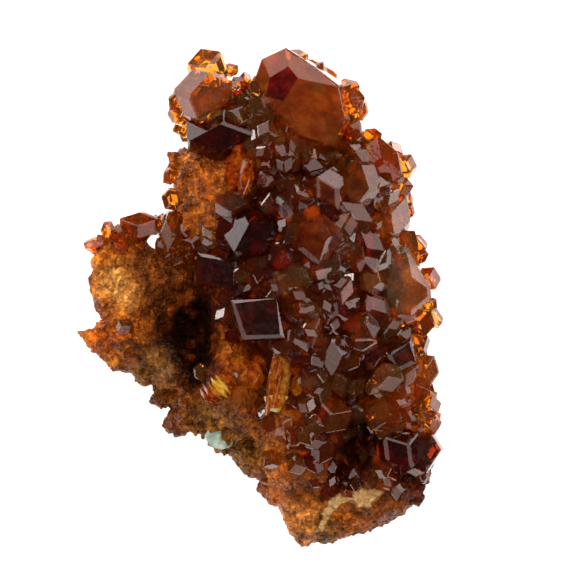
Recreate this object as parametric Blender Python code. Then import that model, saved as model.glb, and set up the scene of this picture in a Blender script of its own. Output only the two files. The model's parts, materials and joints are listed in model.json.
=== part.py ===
"""A hessonite garnet specimen: honey-brown crystals grown together on a granular garnet matrix.

The specimen lies on its back. X runs to the right of its crystal face, Y towards its
broad upper end, and Z out of the crystal face. Lists are in millimetres; objects are in metres.
"""

import math

import bmesh
import bpy
import numpy as np
from mathutils import Matrix, Vector

MM = 0.001
SEED = 18
CENTRE_X = -2.255
CENTRE_Y = 17.433
SEAT_GAP = 0.3

# Matrix: the spacing of a lump's corners, how unevenly they stand out, and how far its hull falls short of its size.
LUMP_SPACING = 2.2
LUMP_UNEVEN = 0.09
LUMP_SAG = 0.95
FEWEST_CORNERS = 9
GREEN_CORNERS = 60
GOLDEN_ANGLE = math.pi * (3 - math.sqrt(5))

# Crystals: bevelled from this reach up, where the bevels lie, how uneven the faces are, how far one stands out,
# and the stretch from which one is a column, which keeps its own height.
BEVEL_FROM = 1.25
BEVEL = 1.06
PLAIN = 1.16
UNEVEN = 0.07
STANDS_OUT = 0.45
COLUMN_STRETCH = 2.4

# The base is cut flat here, by a slab this wide and thick.
BASE_WIDTH = 60.0
BASE_DEPTH = 20.0

# Faces flatter to each other than this are merged, and this share of the triangles is kept.
FLAT = math.radians(2.0)
KEPT_FACES = 0.8

# Lumps of the massive matrix: x, y, z of the centre, the three half-sizes, and the turn about Z in degrees.
LUMPS = [
    (1.2, 17.3, 3.6, 7.4, 12.2, 5.6, 4),
    (1.6, 19.5, 6.0, 5.9, 8.6, 6.2, 0),
    (-0.8, 28.4, 5.6, 5.0, 4.6, 5.6, 0),
    (-5.2, 24.6, 5.6, 3.2, 4.2, 5.2, 8),
    (-5.3, 30.6, 6.0, 2.2, 3.0, 4.2, 0),
    (5.2, 25.6, 5.6, 2.7, 3.4, 4.6, 20),
    (6.9, 18.6, 5.4, 2.6, 4.2, 4.8, 0),
    (7.2, 12.2, 5.0, 2.7, 3.6, 4.6, 0),
    (6.3, 7.2, 4.8, 3.8, 3.0, 3.9, 10),
    (0.9, 8.8, 5.0, 3.9, 5.4, 5.1, 0),
    (-3.9, 11.2, 4.8, 3.0, 4.2, 4.8, 0),
    (0.75, 3.0, 4.4, 1.75, 3.2, 3.3, 16),
    (4.3, 4.2, 4.4, 4.6, 2.0, 3.0, 24),
    (-11.1, 18.4, 4.6, 3.4, 3.3, 2.4, 10),
    (-8.3, 18.6, 4.2, 2.6, 3.6, 2.2, 0),
    (-10.6, 14.2, 4.4, 3.6, 2.0, 2.0, -16),
    (-13.1, 14.4, 4.3, 2.15, 1.3, 1.6, -28),
    (-12.5, 21.1, 4.6, 1.6, 2.1, 1.9, -24),
    (-10.5, 22.5, 4.7, 1.9, 0.95, 1.7, 8),
    (-8.0, 13.0, 4.4, 2.8, 2.4, 2.9, -20),
    (-7.9, 8.8, 4.4, 1.3, 1.35, 1.7, 0),
    (-9.2, 10.4, 4.5, 0.9, 0.85, 1.2, 0),
    (-6.7, 10.3, 4.4, 1.8, 1.9, 2.7, 0),
    (-4.6, 7.9, 4.4, 2.1, 1.5, 2.6, -32),
    (-2.6, 6.0, 4.4, 2.0, 1.3, 2.6, -30),
    (-0.9, 4.3, 4.4, 1.6, 1.7, 2.8, 0),
    (-10.3, 11.9, 4.4, 0.9, 0.8, 1.2, 0),
    (-7.9, 26.5, 5.4, 1.0, 0.8, 2.2, 30),
    (5.2, 28.2, 5.8, 1.9, 1.2, 2.6, -30),
    (3.6, 30.4, 6.0, 1.5, 2.2, 2.8, 10),
    (0.9, 32.6, 6.4, 2.5, 2.1, 2.6, 0),
    (-2.6, 31.6, 6.2, 1.6, 1.7, 2.6, 0),
    (8.6, 17.4, 5.2, 1.5, 2.6, 2.2, 0),
    (9.1, 9.6, 4.8, 1.4, 2.4, 2.2, 0),
    (-7.6, 22.8, 5.4, 1.4, 1.8, 2.0, 0),
    (-6.6, 30.6, 5.8, 1.5, 2.2, 2.4, 0),
    (-7.0, 15.6, 2.9, 3.4, 4.6, 2.1, 14),
    (-8.7, 20.4, 4.4, 1.2, 1.3, 1.9, 0),
    (-12.0, 13.4, 4.3, 2.6, 1.2, 1.5, -24),
    (-7.4, 27.3, 5.6, 0.9, 1.0, 2.2, 20),
    (5.9, 3.2, 4.0, 4.5, 2.0, 3.0, 25),
    (3.4, 1.7, 3.8, 3.1, 1.5, 2.6, 13),
    (8.5, 5.3, 4.2, 2.1, 1.7, 2.6, 50),
    (-10.9, 21.3, 4.4, 1.3, 1.1, 1.7, 0),
    (-10.2, 16.0, 4.5, 1.9, 1.6, 1.8, 0),
    (-3.4, 23.4, 2.6, 4.4, 4.6, 3.4, 30),
    (4.6, 22.4, 2.4, 3.8, 5.4, 3.2, -16),
    (5.6, 10.0, 2.3, 3.4, 4.0, 3.0, 20),
    (-2.8, 10.2, 2.2, 3.2, 3.2, 3.0, -20),
    (-6.9, 21.3, 4.4, 1.1, 1.5, 1.9, 0),
    (-6.3, 8.7, 4.2, 1.1, 0.9, 1.7, 0),
]

# Patches of coarse grains on the matrix: x, y, the half-sizes, the turn, how many and their size.
GRAINS = [
    (-11.6, 18.2, 2.8, 3.6, 0, 17, 0.74),
    (-12.4, 14.2, 2.5, 1.2, -26, 7, 0.62),
    (-8.3, 12.2, 2.4, 1.3, -40, 6, 0.62),
    (-4.6, 7.6, 4.4, 1.3, -38, 12, 0.66),
    (0.6, 3.2, 1.6, 2.8, 16, 7, 0.62),
    (5.6, 3.4, 4.6, 1.7, 22, 12, 0.66),
    (-6.9, 25.0, 1.9, 3.4, 0, 10, 0.72),
]

# Hollows, as lumps that are cut away: the deep one beside the flange, the lower one and a shallow one.
HOLLOWS = [
    (-6.9, 15.6, 9.6, 1.85, 3.5, 5.4, 14),
    (4.9, 7.4, 10.2, 1.35, 2.7, 5.4, -8),
    (-3.5, 9.2, 11.4, 1.6, 1.8, 2.6, 0),
]

# Garnet crystals: x, y, z of the centre, the distance to a face, where one face leans (degrees from +X),
# how far it leans from +Z, the turn of that face's long diagonal, and the stretch along that diagonal.
CRYSTALS = [
    # Top left cluster
    (-5.75, 33.6, 8.6, 1.28, 110, 38, 20, 1.0),
    (-5.9, 31.7, 9.6, 1.62, 300, 8, 80, 1.1),
    (-7.75, 31.3, 8.2, 0.72, 170, 40, 60, 1.0),
    (-7.6, 29.5, 7.8, 0.5, 190, 40, 20, 1.0),
    (-4.8, 29.0, 9.6, 1.55, 275, 11, 4, 1.55),
    (-3.6, 30.0, 11.4, 1.0, 48, 24, 350, 1.0),
    (-3.55, 32.5, 9.3, 0.52, 240, 10, 40, 1.0),
    (-4.2, 33.5, 8.6, 0.42, 90, 50, 10, 1.3),
    (-3.1, 32.9, 8.4, 0.42, 60, 40, 120, 1.0),
    (-2.3, 32.3, 8.6, 0.6, 80, 40, 20, 1.0),
    (-3.4, 31.3, 10.2, 0.5, 150, 30, 80, 1.1),
    (-1.9, 30.6, 10.4, 0.85, 250, 30, 150, 1.2),
    # Behind the top crystal and below it
    (0.5, 34.3, 8.3, 0.6, 80, 60, 160, 1.2),
    (1.95, 33.35, 8.2, 0.62, 70, 30, 60, 1.0),
    (4.2, 31.4, 8.6, 0.95, 20, 34, 100, 1.15),
    (4.3, 29.4, 8.6, 0.7, 340, 30, 60, 1.0),
    (-0.2, 29.8, 11.9, 0.5, 220, 34, 95, 1.3),
    (0.45, 28.2, 12.4, 0.55, 200, 30, 100, 1.35),
    (1.65, 28.0, 12.3, 0.6, 230, 36, 120, 1.2),
    (-1.6, 29.1, 11.6, 0.7, 290, 40, 165, 1.2),
    (-0.7, 28.5, 11.9, 0.48, 240, 20, 10, 1.0),
    (-1.8, 27.8, 11.9, 0.6, 200, 28, 40, 1.0),
    (-0.4, 26.9, 12.2, 0.6, 95, 40, 5, 1.0),
    (0.38, 26.7, 12.6, 0.4, 10, 8, 90, 1.0),
    (-1.7, 25.8, 12.2, 0.64, 160, 26, 110, 1.1),
    (-0.65, 25.7, 12.4, 0.5, 250, 24, 0, 1.1),
    (-1.65, 26.9, 11.9, 0.38, 120, 20, 40, 1.0),
    # Pale column and the elongated crystal below it
    (-3.6, 26.5, 10.4, 0.7, 200, 12, 87, 2.5),
    (-2.3, 24.4, 11.8, 0.52, 320, 30, 60, 1.0),
    (-3.95, 22.7, 11.4, 0.9, 322, 26, 57, 1.6),
    # Left edge of the upper part
    (-8.35, 26.2, 6.8, 0.5, 190, 40, 45, 1.3),
    (-8.25, 24.5, 7.0, 0.72, 185, 34, 70, 1.0),
    (-8.1, 22.2, 7.2, 1.0, 195, 30, 86, 1.4),
    # Upper right rim
    (6.4, 27.2, 9.2, 1.1, 24, 38, 124, 1.5),
    (5.8, 28.9, 7.8, 0.5, 80, 40, 160, 1.3),
    (7.2, 27.8, 7.8, 0.66, 50, 40, 130, 1.0),
    (8.1, 26.8, 7.2, 0.72, 20, 34, 80, 1.05),
    (7.8, 25.3, 7.4, 0.68, 330, 34, 20, 1.0),
    (6.3, 25.3, 9.9, 0.66, 95, 30, 165, 1.15),
    (4.75, 25.5, 10.8, 1.2, 250, 10, 80, 1.35),
    (2.75, 25.0, 12.0, 1.1, 230, 10, 120, 1.3),
    (3.9, 28.2, 11.2, 0.5, 120, 40, 10, 1.3),
    (4.55, 27.75, 10.8, 0.55, 80, 34, 150, 1.2),
    (7.1, 23.1, 8.0, 1.2, 10, 34, 66, 1.35),
    (8.1, 21.4, 7.4, 0.82, 30, 34, 60, 1.0),
    (7.1, 21.6, 9.2, 0.52, 90, 20, 20, 1.0),
    (6.4, 24.2, 9.6, 0.4, 0, 40, 88, 1.8),
    (5.9, 22.7, 10.6, 0.4, 70, 40, 15, 1.1),
    # Centre
    (1.85, 21.65, 11.9, 1.5, 230, 16, 105, 1.05),
    (4.35, 23.2, 11.4, 1.0, 50, 30, 150, 1.3),
    (3.95, 21.8, 12.0, 0.62, 20, 34, 105, 1.3),
    (1.1, 24.0, 12.6, 0.6, 80, 40, 10, 1.0),
    (5.5, 21.2, 11.1, 1.0, 60, 26, 140, 1.1),
    (4.6, 20.1, 11.7, 0.6, 350, 30, 86, 1.3),
    (3.7, 20.1, 12.2, 0.48, 170, 24, 90, 1.2),
    (3.9, 18.9, 12.1, 0.52, 250, 20, 10, 1.1),
    (5.65, 18.8, 11.0, 0.92, 60, 8, 70, 1.0),
    (5.9, 16.7, 10.6, 1.15, 65, 36, 130, 1.1),
    (5.0, 15.5, 10.7, 1.05, 250, 20, 150, 1.1),
    (3.1, 15.9, 11.8, 0.55, 300, 20, 80, 1.0),
    (1.5, 15.7, 12.1, 0.72, 90, 12, 30, 1.0),
    (-0.65, 20.4, 12.2, 0.82, 170, 24, 118, 1.1),
    (-0.35, 19.3, 12.5, 0.36, 60, 30, 20, 1.0),
    (-0.38, 18.2, 12.4, 0.34, 100, 24, 110, 1.0),
    (3.05, 17.7, 12.5, 0.34, 80, 30, 150, 1.3),
    (1.4, 19.3, 12.6, 0.36, 140, 20, 30, 1.0),
    (-5.05, 19.3, 9.6, 1.3, 270, 8, 12, 1.0),
    (-2.2, 16.05, 10.9, 1.72, 250, 6, -35, 1.0),
    (-2.5, 22.0, 10.4, 1.7, 300, 10, 30, 1.1),
    (-0.3, 23.9, 12.0, 0.8, 260, 30, 85, 1.2),
    (-0.6, 22.5, 12.2, 0.5, 90, 30, 60, 1.0),
    (-2.0, 19.2, 11.9, 0.6, 200, 20, 80, 1.0),
    (0.6, 18.0, 12.4, 0.6, 290, 30, 140, 1.2),
    (1.9, 18.3, 12.5, 0.5, 30, 30, 60, 1.0),
    (2.6, 19.0, 12.4, 0.45, 100, 40, 60, 1.0),
    (2.4, 16.9, 12.2, 0.5, 40, 24, 110, 1.0),
    (1.2, 17.3, 12.4, 0.45, 150, 24, 0, 1.0),
    (-3.4, 18.3, 11.0, 0.6, 240, 24, 40, 1.0),
    (0.2, 16.3, 12.0, 0.55, 330, 24, 10, 1.0),
    (4.2, 17.4, 11.6, 0.6, 250, 30, 60, 1.0),
    # Right side
    (9.75, 18.9, 6.6, 0.78, 10, 30, 90, 1.05),
    (9.8, 17.1, 6.4, 0.52, 350, 34, 60, 1.0),
    (9.15, 15.9, 6.9, 0.95, 340, 34, 80, 1.0),
    (7.85, 15.0, 9.2, 0.72, 50, 40, 118, 1.35),
    (7.55, 13.3, 9.2, 1.1, 330, 20, 52, 1.15),
    (9.45, 12.5, 6.6, 0.92, 355, 34, 80, 1.2),
    (9.1, 13.8, 6.6, 0.5, 20, 30, 60, 1.0),
    (6.1, 13.5, 10.0, 0.68, 200, 20, 85, 1.1),
    (4.8, 13.7, 10.4, 0.66, 240, 24, 52, 1.2),
    (3.75, 14.4, 11.0, 0.66, 140, 30, 130, 1.0),
    (6.9, 12.0, 9.5, 0.95, 280, 28, 20, 1.1),
    (8.9, 11.3, 7.8, 0.7, 60, 44, 130, 1.5),
    (6.4, 16.0, 10.0, 0.6, 90, 30, 100, 1.0),
    # Lower middle
    (2.0, 13.5, 11.3, 0.75, 60, 24, 24, 1.25),
    (2.75, 13.0, 11.0, 0.52, 60, 24, 24, 1.3),
    (-4.95, 11.3, 9.2, 0.85, 320, 8, 39, 1.4),
    (-2.7, 12.2, 9.8, 0.85, 250, 6, 20, 1.05),
    (-0.85, 12.0, 9.5, 0.6, 250, 8, 81, 3.3),
    (0.5, 11.2, 9.2, 0.52, 340, 14, 84, 3.0),
    (3.1, 9.2, 10.0, 1.12, 320, 22, 40, 1.1),
    (3.1, 11.7, 10.5, 1.0, 330, 24, 110, 1.15),
    (4.1, 12.3, 10.4, 0.56, 350, 34, 118, 1.3),
    (2.35, 7.0, 9.4, 0.82, 310, 26, 60, 1.1),
    (2.85, 5.9, 8.6, 0.45, 340, 24, 100, 1.2),
    (1.1, 8.0, 10.0, 0.66, 240, 20, 130, 1.1),
    (-0.55, 8.1, 10.0, 0.55, 120, 20, 40, 1.0),
    (1.2, 10.0, 10.2, 0.6, 20, 30, 70, 1.0),
    (-1.3, 6.3, 8.9, 0.6, 200, 20, 50, 1.0),
    (0.6, 5.9, 8.9, 0.7, 260, 24, 20, 1.0),
    (4.0, 14.9, 11.2, 0.5, 60, 30, 30, 1.0),
    # Lower right
    (8.5, 9.3, 8.3, 0.62, 60, 20, 80, 1.0),
    (9.55, 6.9, 6.0, 1.0, 10, 36, 70, 1.25),
    (7.5, 6.9, 7.6, 1.4, 300, 7, 130, 1.1),
    (6.5, 9.5, 8.3, 1.15, 190, 22, 60, 1.1),
    (9.85, 10.0, 6.8, 0.72, 20, 34, 100, 1.0),
    (9.9, 8.7, 6.6, 0.6, 350, 30, 20, 1.0),
    (7.6, 10.6, 8.7, 0.6, 90, 30, 60, 1.0),
    (7.3, 8.6, 8.6, 0.5, 220, 24, 60, 1.0),
    # Flange
    (-10.2, 22.95, 6.0, 0.6, 100, 40, 174, 1.7),
    (-9.1, 22.9, 6.0, 0.45, 140, 40, 55, 1.4),
    (-11.9, 22.2, 5.9, 0.55, 120, 30, 20, 1.1),
    (-11.6, 15.5, 6.0, 0.55, 260, 20, 40, 1.0),
    (-6.2, 12.3, 7.2, 0.5, 220, 30, 120, 1.3),
]

# The top crystal and the large one on the right grew unevenly, so their corners are given one by one.
TOP_CRYSTAL = [
    (0.55, 32.75, 13.455), (3.3, 32.2, 12.74), (3.8, 30.0, 12.19), (3.0, 28.1, 11.986), (0.6, 28.9, 12.674),
    (-0.45, 31.2, 13.365), (-0.12, 33.6, 13.386), (-1.4, 32.8, 13.265), (-1.7, 31.5, 13.242),
    (-0.38, 34.8, 13.063), (1.55, 33.55, 12.855), (-1.95, 34.1, 12.853), (-2.4, 32.8, 12.753),
    (-0.30, 34.89, 12.955), (1.63, 33.64, 12.747), (3.38, 32.29, 12.63),
    (-2.2, 34.1, 9.0), (-0.2, 35.0, 9.0), (1.8, 33.9, 9.0), (3.7, 32.6, 9.0), (4.2, 30.0, 9.0),
    (3.2, 27.8, 9.4), (0.4, 28.5, 9.4), (-1.9, 31.1, 9.2), (-2.65, 32.8, 9.0),
]
RIGHT_CRYSTAL = [
    (8.5, 19.0, 10.6), (7.6, 17.4, 10.43), (9.5, 18.3, 10.12), (9.6, 17.7, 9.93), (8.4, 16.7, 10.01),
    (8.2, 20.4, 10.64), (7.0, 19.9, 10.495), (6.7, 18.6, 10.40), (6.8, 17.6, 10.36),
    (8.45, 20.5, 10.3), (9.78, 18.35, 9.75), (9.85, 17.6, 9.55), (8.45, 16.35, 9.6), (7.3, 16.6, 9.9),
    (6.5, 17.4, 9.9), (6.35, 18.7, 9.9), (6.8, 20.2, 10.0), (8.1, 20.8, 10.0),
    (8.6, 20.7, 7.0), (10.0, 18.4, 7.0), (10.0, 17.4, 7.0), (8.5, 16.1, 7.0), (6.5, 16.8, 7.0),
    (6.2, 18.6, 7.0), (6.7, 20.4, 7.0),
]

# Corners of the small opening through the flange, beside the body.
WINDOW = [(-9.95, 21.6), (-9.2, 21.65), (-9.05, 20.95), (-9.55, 20.95)]

# The green grain, as a lump.
GREEN_GRAIN = (-5.0, 7.75, 6.75, 0.95, 0.8, 0.62, -32)


def make_collection(name, hidden):
    collection = bpy.data.collections.new(name)
    collection.hide_render = hidden
    bpy.context.scene.collection.children.link(collection)
    return collection


def add_object(name, bm, collection):
    mesh = bpy.data.meshes.new(name)
    bm.to_mesh(mesh)
    bm.free()
    thing = bpy.data.objects.new(name, mesh)
    collection.objects.link(thing)
    return thing


def close_hull(bm):
    """Turns a cloud of corners into the closed solid around them."""
    bmesh.ops.convex_hull(bm, input=bm.verts)
    loose = [vert for vert in bm.verts if not vert.link_faces]
    bmesh.ops.delete(bm, geom=loose, context="VERTS")
    bmesh.ops.remove_doubles(bm, verts=bm.verts, dist=1e-6)
    bmesh.ops.dissolve_limit(bm, angle_limit=math.radians(1.0), verts=bm.verts, edges=bm.edges)
    bmesh.ops.recalc_face_normals(bm, faces=bm.faces)


def place(x, y, z):
    """A point of the lists, in metres, about the middle of the specimen."""
    return Vector(((x - CENTRE_X) * MM, (y - CENTRE_Y) * MM, z * MM))


def dome(lump, x, y):
    """How far a lump reaches above and below its centre over the point x, y, or None beside it."""
    turn = math.radians(lump[6])
    dx, dy = x - lump[0], y - lump[1]
    across = (dx * math.cos(turn) + dy * math.sin(turn)) / lump[3]
    along = (dy * math.cos(turn) - dx * math.sin(turn)) / lump[4]
    left = 1 - across * across - along * along
    return lump[5] * math.sqrt(left) if left > 0 else None


def matrix_top(x, y):
    """The height of the matrix over the point x, y, with the hollows cut, or None beside the matrix."""
    domes = [(lump[2], dome(lump, x, y)) for lump in LUMPS]
    tops = [z + rise * LUMP_SAG for z, rise in domes if rise is not None]
    if not tops:
        return None
    height = max(tops)
    for hollow in HOLLOWS:
        depth = dome(hollow, x, y)
        if depth is not None:
            height = min(height, hollow[2] - depth)
    return height


def add_lump(name, lump, collection, uneven, rng, fewest=FEWEST_CORNERS):
    """One broken lump: the hull of corners spread over a stretched and turned ball."""
    x, y, z, half_x, half_y, half_z, turn = lump
    spin = Matrix.Rotation(math.radians(turn), 3, "Z")
    area = 4 * math.pi * ((half_x * half_y + half_y * half_z + half_z * half_x) / 3)
    corners = max(fewest, round(area / LUMP_SPACING**2))
    bm = bmesh.new()
    for number in range(corners):
        up = 1 - 2 * (number + 0.5) / corners
        wide = math.sqrt(1 - up * up)
        angle = number * GOLDEN_ANGLE
        out = Vector((wide * math.cos(angle), wide * math.sin(angle), up))
        out += Vector(rng.uniform(-uneven, uneven, 3))
        point = spin @ Vector((out.x * half_x, out.y * half_y, out.z * half_z))
        bm.verts.new(place(x + point.x, y + point.y, z + point.z))
    close_hull(bm)
    return add_object(name, bm, collection)


def add_grains(name, patch, collection, rng):
    """Coarse angular grains standing out of the matrix over an oval patch."""
    x, y, half_x, half_y, turn, count, size = patch
    turn = math.radians(turn)
    for number in range(count):
        far = math.sqrt(rng.uniform(0, 1))
        angle = rng.uniform(0, 2 * math.pi)
        across = half_x * far * math.cos(angle)
        along = half_y * far * math.sin(angle)
        at_x = x + across * math.cos(turn) - along * math.sin(turn)
        at_y = y + across * math.sin(turn) + along * math.cos(turn)
        halves = size * rng.uniform(0.7, 1.25, 3)
        tilt = rng.uniform(0, 180)
        ground = matrix_top(at_x, at_y)
        if ground is not None:
            grain = (at_x, at_y, ground - 0.25 * size, *halves, tilt)
            add_lump(f"{name}_{number}", grain, collection, 0.25, rng)


def face_directions():
    """The twelve rhombic faces of a garnet crystal and the twenty-four narrow ones on its edges."""
    rhombs = []
    edges = []
    for a in (-1, 0, 1):
        for b in (-1, 0, 1):
            for c in (-1, 0, 1):
                if abs(a) + abs(b) + abs(c) == 2:
                    rhombs.append(Vector((a, b, c)).normalized())
                if abs(a) + abs(b) + abs(c) == 3:
                    for axis in range(3):
                        edge = Vector((a, b, c))
                        edge[axis] *= 2
                        edges.append(edge.normalized())
    return rhombs, edges


def crystal_corners(bevel, uneven, rng):
    """The corners of a crystal whose rhombic faces lie about 1 from its centre."""
    rhombs, edges = face_directions()
    normals = np.array(rhombs + (edges if bevel < PLAIN else []))
    reach = np.ones(len(normals))
    reach[: len(rhombs)] += uneven * rng.uniform(-1, 1, len(rhombs))
    reach[len(rhombs) :] = bevel * (1 + 0.25 * uneven * rng.uniform(-1, 1, len(normals) - len(rhombs)))
    count = len(normals)
    first, second, third = np.array(
        [(i, j, k) for i in range(count) for j in range(i + 1, count) for k in range(j + 1, count)]
    ).T
    systems = np.stack([normals[first], normals[second], normals[third]], axis=1)
    sides = np.stack([reach[first], reach[second], reach[third]], axis=1)
    solvable = np.abs(np.linalg.det(systems)) > 1e-4
    points = np.linalg.solve(systems[solvable], sides[solvable][..., None])[..., 0]
    inside = (points @ normals.T <= reach + 1e-6).all(axis=1)
    return np.unique(np.round(points[inside], 5), axis=0)


def add_crystal(name, crystal, collection, rng):
    """One crystal: the hull of its corners, with a chosen face turned towards the viewer."""
    x, y, z, reach, lean_to, lean, spin, stretch = crystal
    ground = matrix_top(x, y)
    if ground is not None and stretch < COLUMN_STRETCH:
        z = min(z, ground + STANDS_OUT * reach)
    bevel = BEVEL if reach >= BEVEL_FROM else PLAIN
    lean_to, lean, spin = (math.radians(angle) for angle in (lean_to, lean, spin))
    facing = Vector((math.sin(lean) * math.cos(lean_to), math.sin(lean) * math.sin(lean_to), math.cos(lean)))
    along = Vector((math.cos(spin), math.sin(spin), 0))
    along = (along - facing * along.dot(facing)).normalized()
    across = facing.cross(along)
    bm = bmesh.new()
    for corner in crystal_corners(bevel, UNEVEN, rng):
        out = (corner[0] + corner[1]) / math.sqrt(2)
        side = (corner[0] - corner[1]) / math.sqrt(2)
        point = (facing * out + along * (side * stretch) + across * corner[2]) * reach
        bm.verts.new(place(x + point.x, y + point.y, z + point.z))
    close_hull(bm)
    return add_object(name, bm, collection)


def add_uneven_crystal(name, corners, collection):
    """One crystal from its own list of corners."""
    bm = bmesh.new()
    for x, y, z in corners:
        bm.verts.new(place(x, y, z))
    close_hull(bm)
    return add_object(name, bm, collection)


def add_prism(name, outline, low, high, collection):
    """An upright prism over an outline of x and y."""
    bm = bmesh.new()
    ring = [bm.verts.new(place(x, y, low)) for x, y in outline]
    bottom = bm.faces.new(ring)
    raised = bmesh.ops.extrude_face_region(bm, geom=[bottom])
    tops = [item for item in raised["geom"] if isinstance(item, bmesh.types.BMVert)]
    bmesh.ops.translate(bm, verts=tops, vec=Vector((0, 0, (high - low) * MM)))
    bmesh.ops.recalc_face_normals(bm, faces=bm.faces)
    return add_object(name, bm, collection)


def combine(body, name, collection, operation):
    modifier = body.modifiers.new(name, "BOOLEAN")
    modifier.operand_type = "COLLECTION"
    modifier.collection = collection
    modifier.operation = operation
    modifier.solver = "EXACT"


def islands_of(bm):
    """The separate bodies of a mesh, each as a set of its points."""
    waiting = set(bm.verts)
    islands = []
    while waiting:
        edge_of_search = [waiting.pop()]
        island = set(edge_of_search)
        while edge_of_search:
            for edge in edge_of_search.pop().link_edges:
                for vert in edge.verts:
                    if vert in waiting:
                        waiting.remove(vert)
                        island.add(vert)
                        edge_of_search.append(vert)
        islands.append(island)
    return islands


def settle(body):
    """Makes the cuts and joins final, drops the small loose bodies beside the stone and merges flat faces."""
    graph = bpy.context.evaluated_depsgraph_get()
    mesh = bpy.data.meshes.new_from_object(body.evaluated_get(graph))
    bm = bmesh.new()
    bm.from_mesh(mesh)
    stone = max(islands_of(bm), key=len)
    bmesh.ops.delete(bm, geom=[vert for vert in bm.verts if vert not in stone], context="VERTS")
    bmesh.ops.dissolve_limit(bm, angle_limit=FLAT, verts=bm.verts, edges=bm.edges)
    bmesh.ops.triangulate(bm, faces=bm.faces)
    bm.to_mesh(mesh)
    bm.free()
    body.modifiers.clear()
    body.data = mesh
    thin = body.modifiers.new("fewer_faces", "DECIMATE")
    thin.ratio = KEPT_FACES


def principled(name, colour, roughness):
    material = bpy.data.materials.new(name)
    material.use_nodes = True
    shader = material.node_tree.nodes["Principled BSDF"]
    shader.inputs["Base Color"].default_value = (*colour, 1.0)
    shader.inputs["Roughness"].default_value = roughness
    shader.inputs["Metallic"].default_value = 0.0
    return material


for old in list(bpy.data.objects):
    bpy.data.objects.remove(old, do_unlink=True)

rng = np.random.default_rng(SEED)
parts = make_collection("hessonite_garnet", False)
lump_guides = make_collection("matrix_lumps", True)
hollow_guides = make_collection("hollows", True)
grain_guides = make_collection("matrix_grains", True)
crystal_guides = make_collection("crystals", True)
cut_guides = make_collection("base_window_and_seat", True)

garnet = add_lump("garnet", LUMPS[0], parts, LUMP_UNEVEN, rng)
for number, lump in enumerate(LUMPS[1:]):
    add_lump(f"lump_{number}", lump, lump_guides, LUMP_UNEVEN, rng)
for number, hollow in enumerate(HOLLOWS):
    add_lump(f"hollow_{number}", hollow, hollow_guides, LUMP_UNEVEN, rng)
for number, patch in enumerate(GRAINS):
    add_grains(f"grain_{number}", patch, grain_guides, rng)
for number, crystal in enumerate(CRYSTALS):
    add_crystal(f"crystal_{number}", crystal, crystal_guides, rng)
add_uneven_crystal("top_crystal", TOP_CRYSTAL, crystal_guides)
add_uneven_crystal("right_crystal", RIGHT_CRYSTAL, crystal_guides)

half = BASE_WIDTH / 2
square = [(-half, -half), (half, -half), (half, half), (-half, half)]
add_prism("base_cut", square, -BASE_DEPTH, 0.0, cut_guides)
add_prism("window", WINDOW, -BASE_DEPTH, BASE_DEPTH, cut_guides)
seat = (*GREEN_GRAIN[:3], *(size + SEAT_GAP for size in GREEN_GRAIN[3:6]), GREEN_GRAIN[6])
add_lump("grain_seat", seat, cut_guides, 0.0, rng, GREEN_CORNERS)

combine(garnet, "lumps", lump_guides, "UNION")
combine(garnet, "hollows", hollow_guides, "DIFFERENCE")
combine(garnet, "grains", grain_guides, "UNION")
combine(garnet, "crystals", crystal_guides, "UNION")
combine(garnet, "cuts", cut_guides, "DIFFERENCE")
settle(garnet)
garnet.data.materials.append(principled("hessonite", (0.30, 0.085, 0.02), 0.18))

grain = add_lump("green_grain", GREEN_GRAIN, parts, 0.0, rng, GREEN_CORNERS)
grain.data.materials.append(principled("green_diopside", (0.30, 0.47, 0.36), 0.25))

for guides in (lump_guides, hollow_guides, grain_guides, crystal_guides, cut_guides):
    for guide in guides.objects:
        guide.hide_render = True
        guide.display_type = "WIRE"
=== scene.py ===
import json
import math
from itertools import combinations, product

import bmesh
import bpy
import numpy as np
from mathutils import Matrix, Vector, noise

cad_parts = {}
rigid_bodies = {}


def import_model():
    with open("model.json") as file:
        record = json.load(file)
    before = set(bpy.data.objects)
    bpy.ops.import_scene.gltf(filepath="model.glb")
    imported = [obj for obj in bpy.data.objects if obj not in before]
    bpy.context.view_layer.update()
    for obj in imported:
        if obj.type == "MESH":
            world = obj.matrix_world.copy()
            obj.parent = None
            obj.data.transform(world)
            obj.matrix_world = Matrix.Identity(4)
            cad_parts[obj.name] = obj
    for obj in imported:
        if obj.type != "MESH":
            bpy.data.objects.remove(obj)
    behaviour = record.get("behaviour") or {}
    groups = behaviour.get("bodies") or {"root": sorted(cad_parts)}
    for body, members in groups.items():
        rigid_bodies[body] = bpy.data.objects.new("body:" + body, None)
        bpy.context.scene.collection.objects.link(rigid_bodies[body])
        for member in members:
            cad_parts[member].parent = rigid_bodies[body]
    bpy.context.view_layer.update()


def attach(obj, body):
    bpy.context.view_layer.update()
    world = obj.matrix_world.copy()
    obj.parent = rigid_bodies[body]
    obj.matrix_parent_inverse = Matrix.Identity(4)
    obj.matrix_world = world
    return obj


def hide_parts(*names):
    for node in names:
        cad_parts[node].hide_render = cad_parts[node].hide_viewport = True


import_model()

rng = np.random.default_rng(18)

# The massive garnet. Behind its crystals the specimen is a granular mass of the same
# garnet, broken at the back and along the lower left edge, with a thin flange on the left.
# It is made of broken lumps, joined into one skin that is then roughened into sugary grains.
MM = 0.001
MIDDLE_U = -2.255
MIDDLE_V = 17.433
LUMP_SPACING = 2.2
LUMP_UNEVEN = 0.09
LUMP_SAG = 0.95
FEWEST_CORNERS = 9
GOLDEN_ANGLE = math.pi * (3 - math.sqrt(5))
SAME_POINT = 1e-6
FLAT_DEGREES = 1.0
GRAIN_RANGE = (0.7, 1.25)
GRAIN_SUNK = 0.25
GRAIN_UNEVEN = 0.25
BASE_HEIGHT = 0.12
FAR_BELOW = -20.0
FAR_ABOVE = 20.0
SKIN_VOXEL = 0.17
scene = bpy.context.scene

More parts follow.
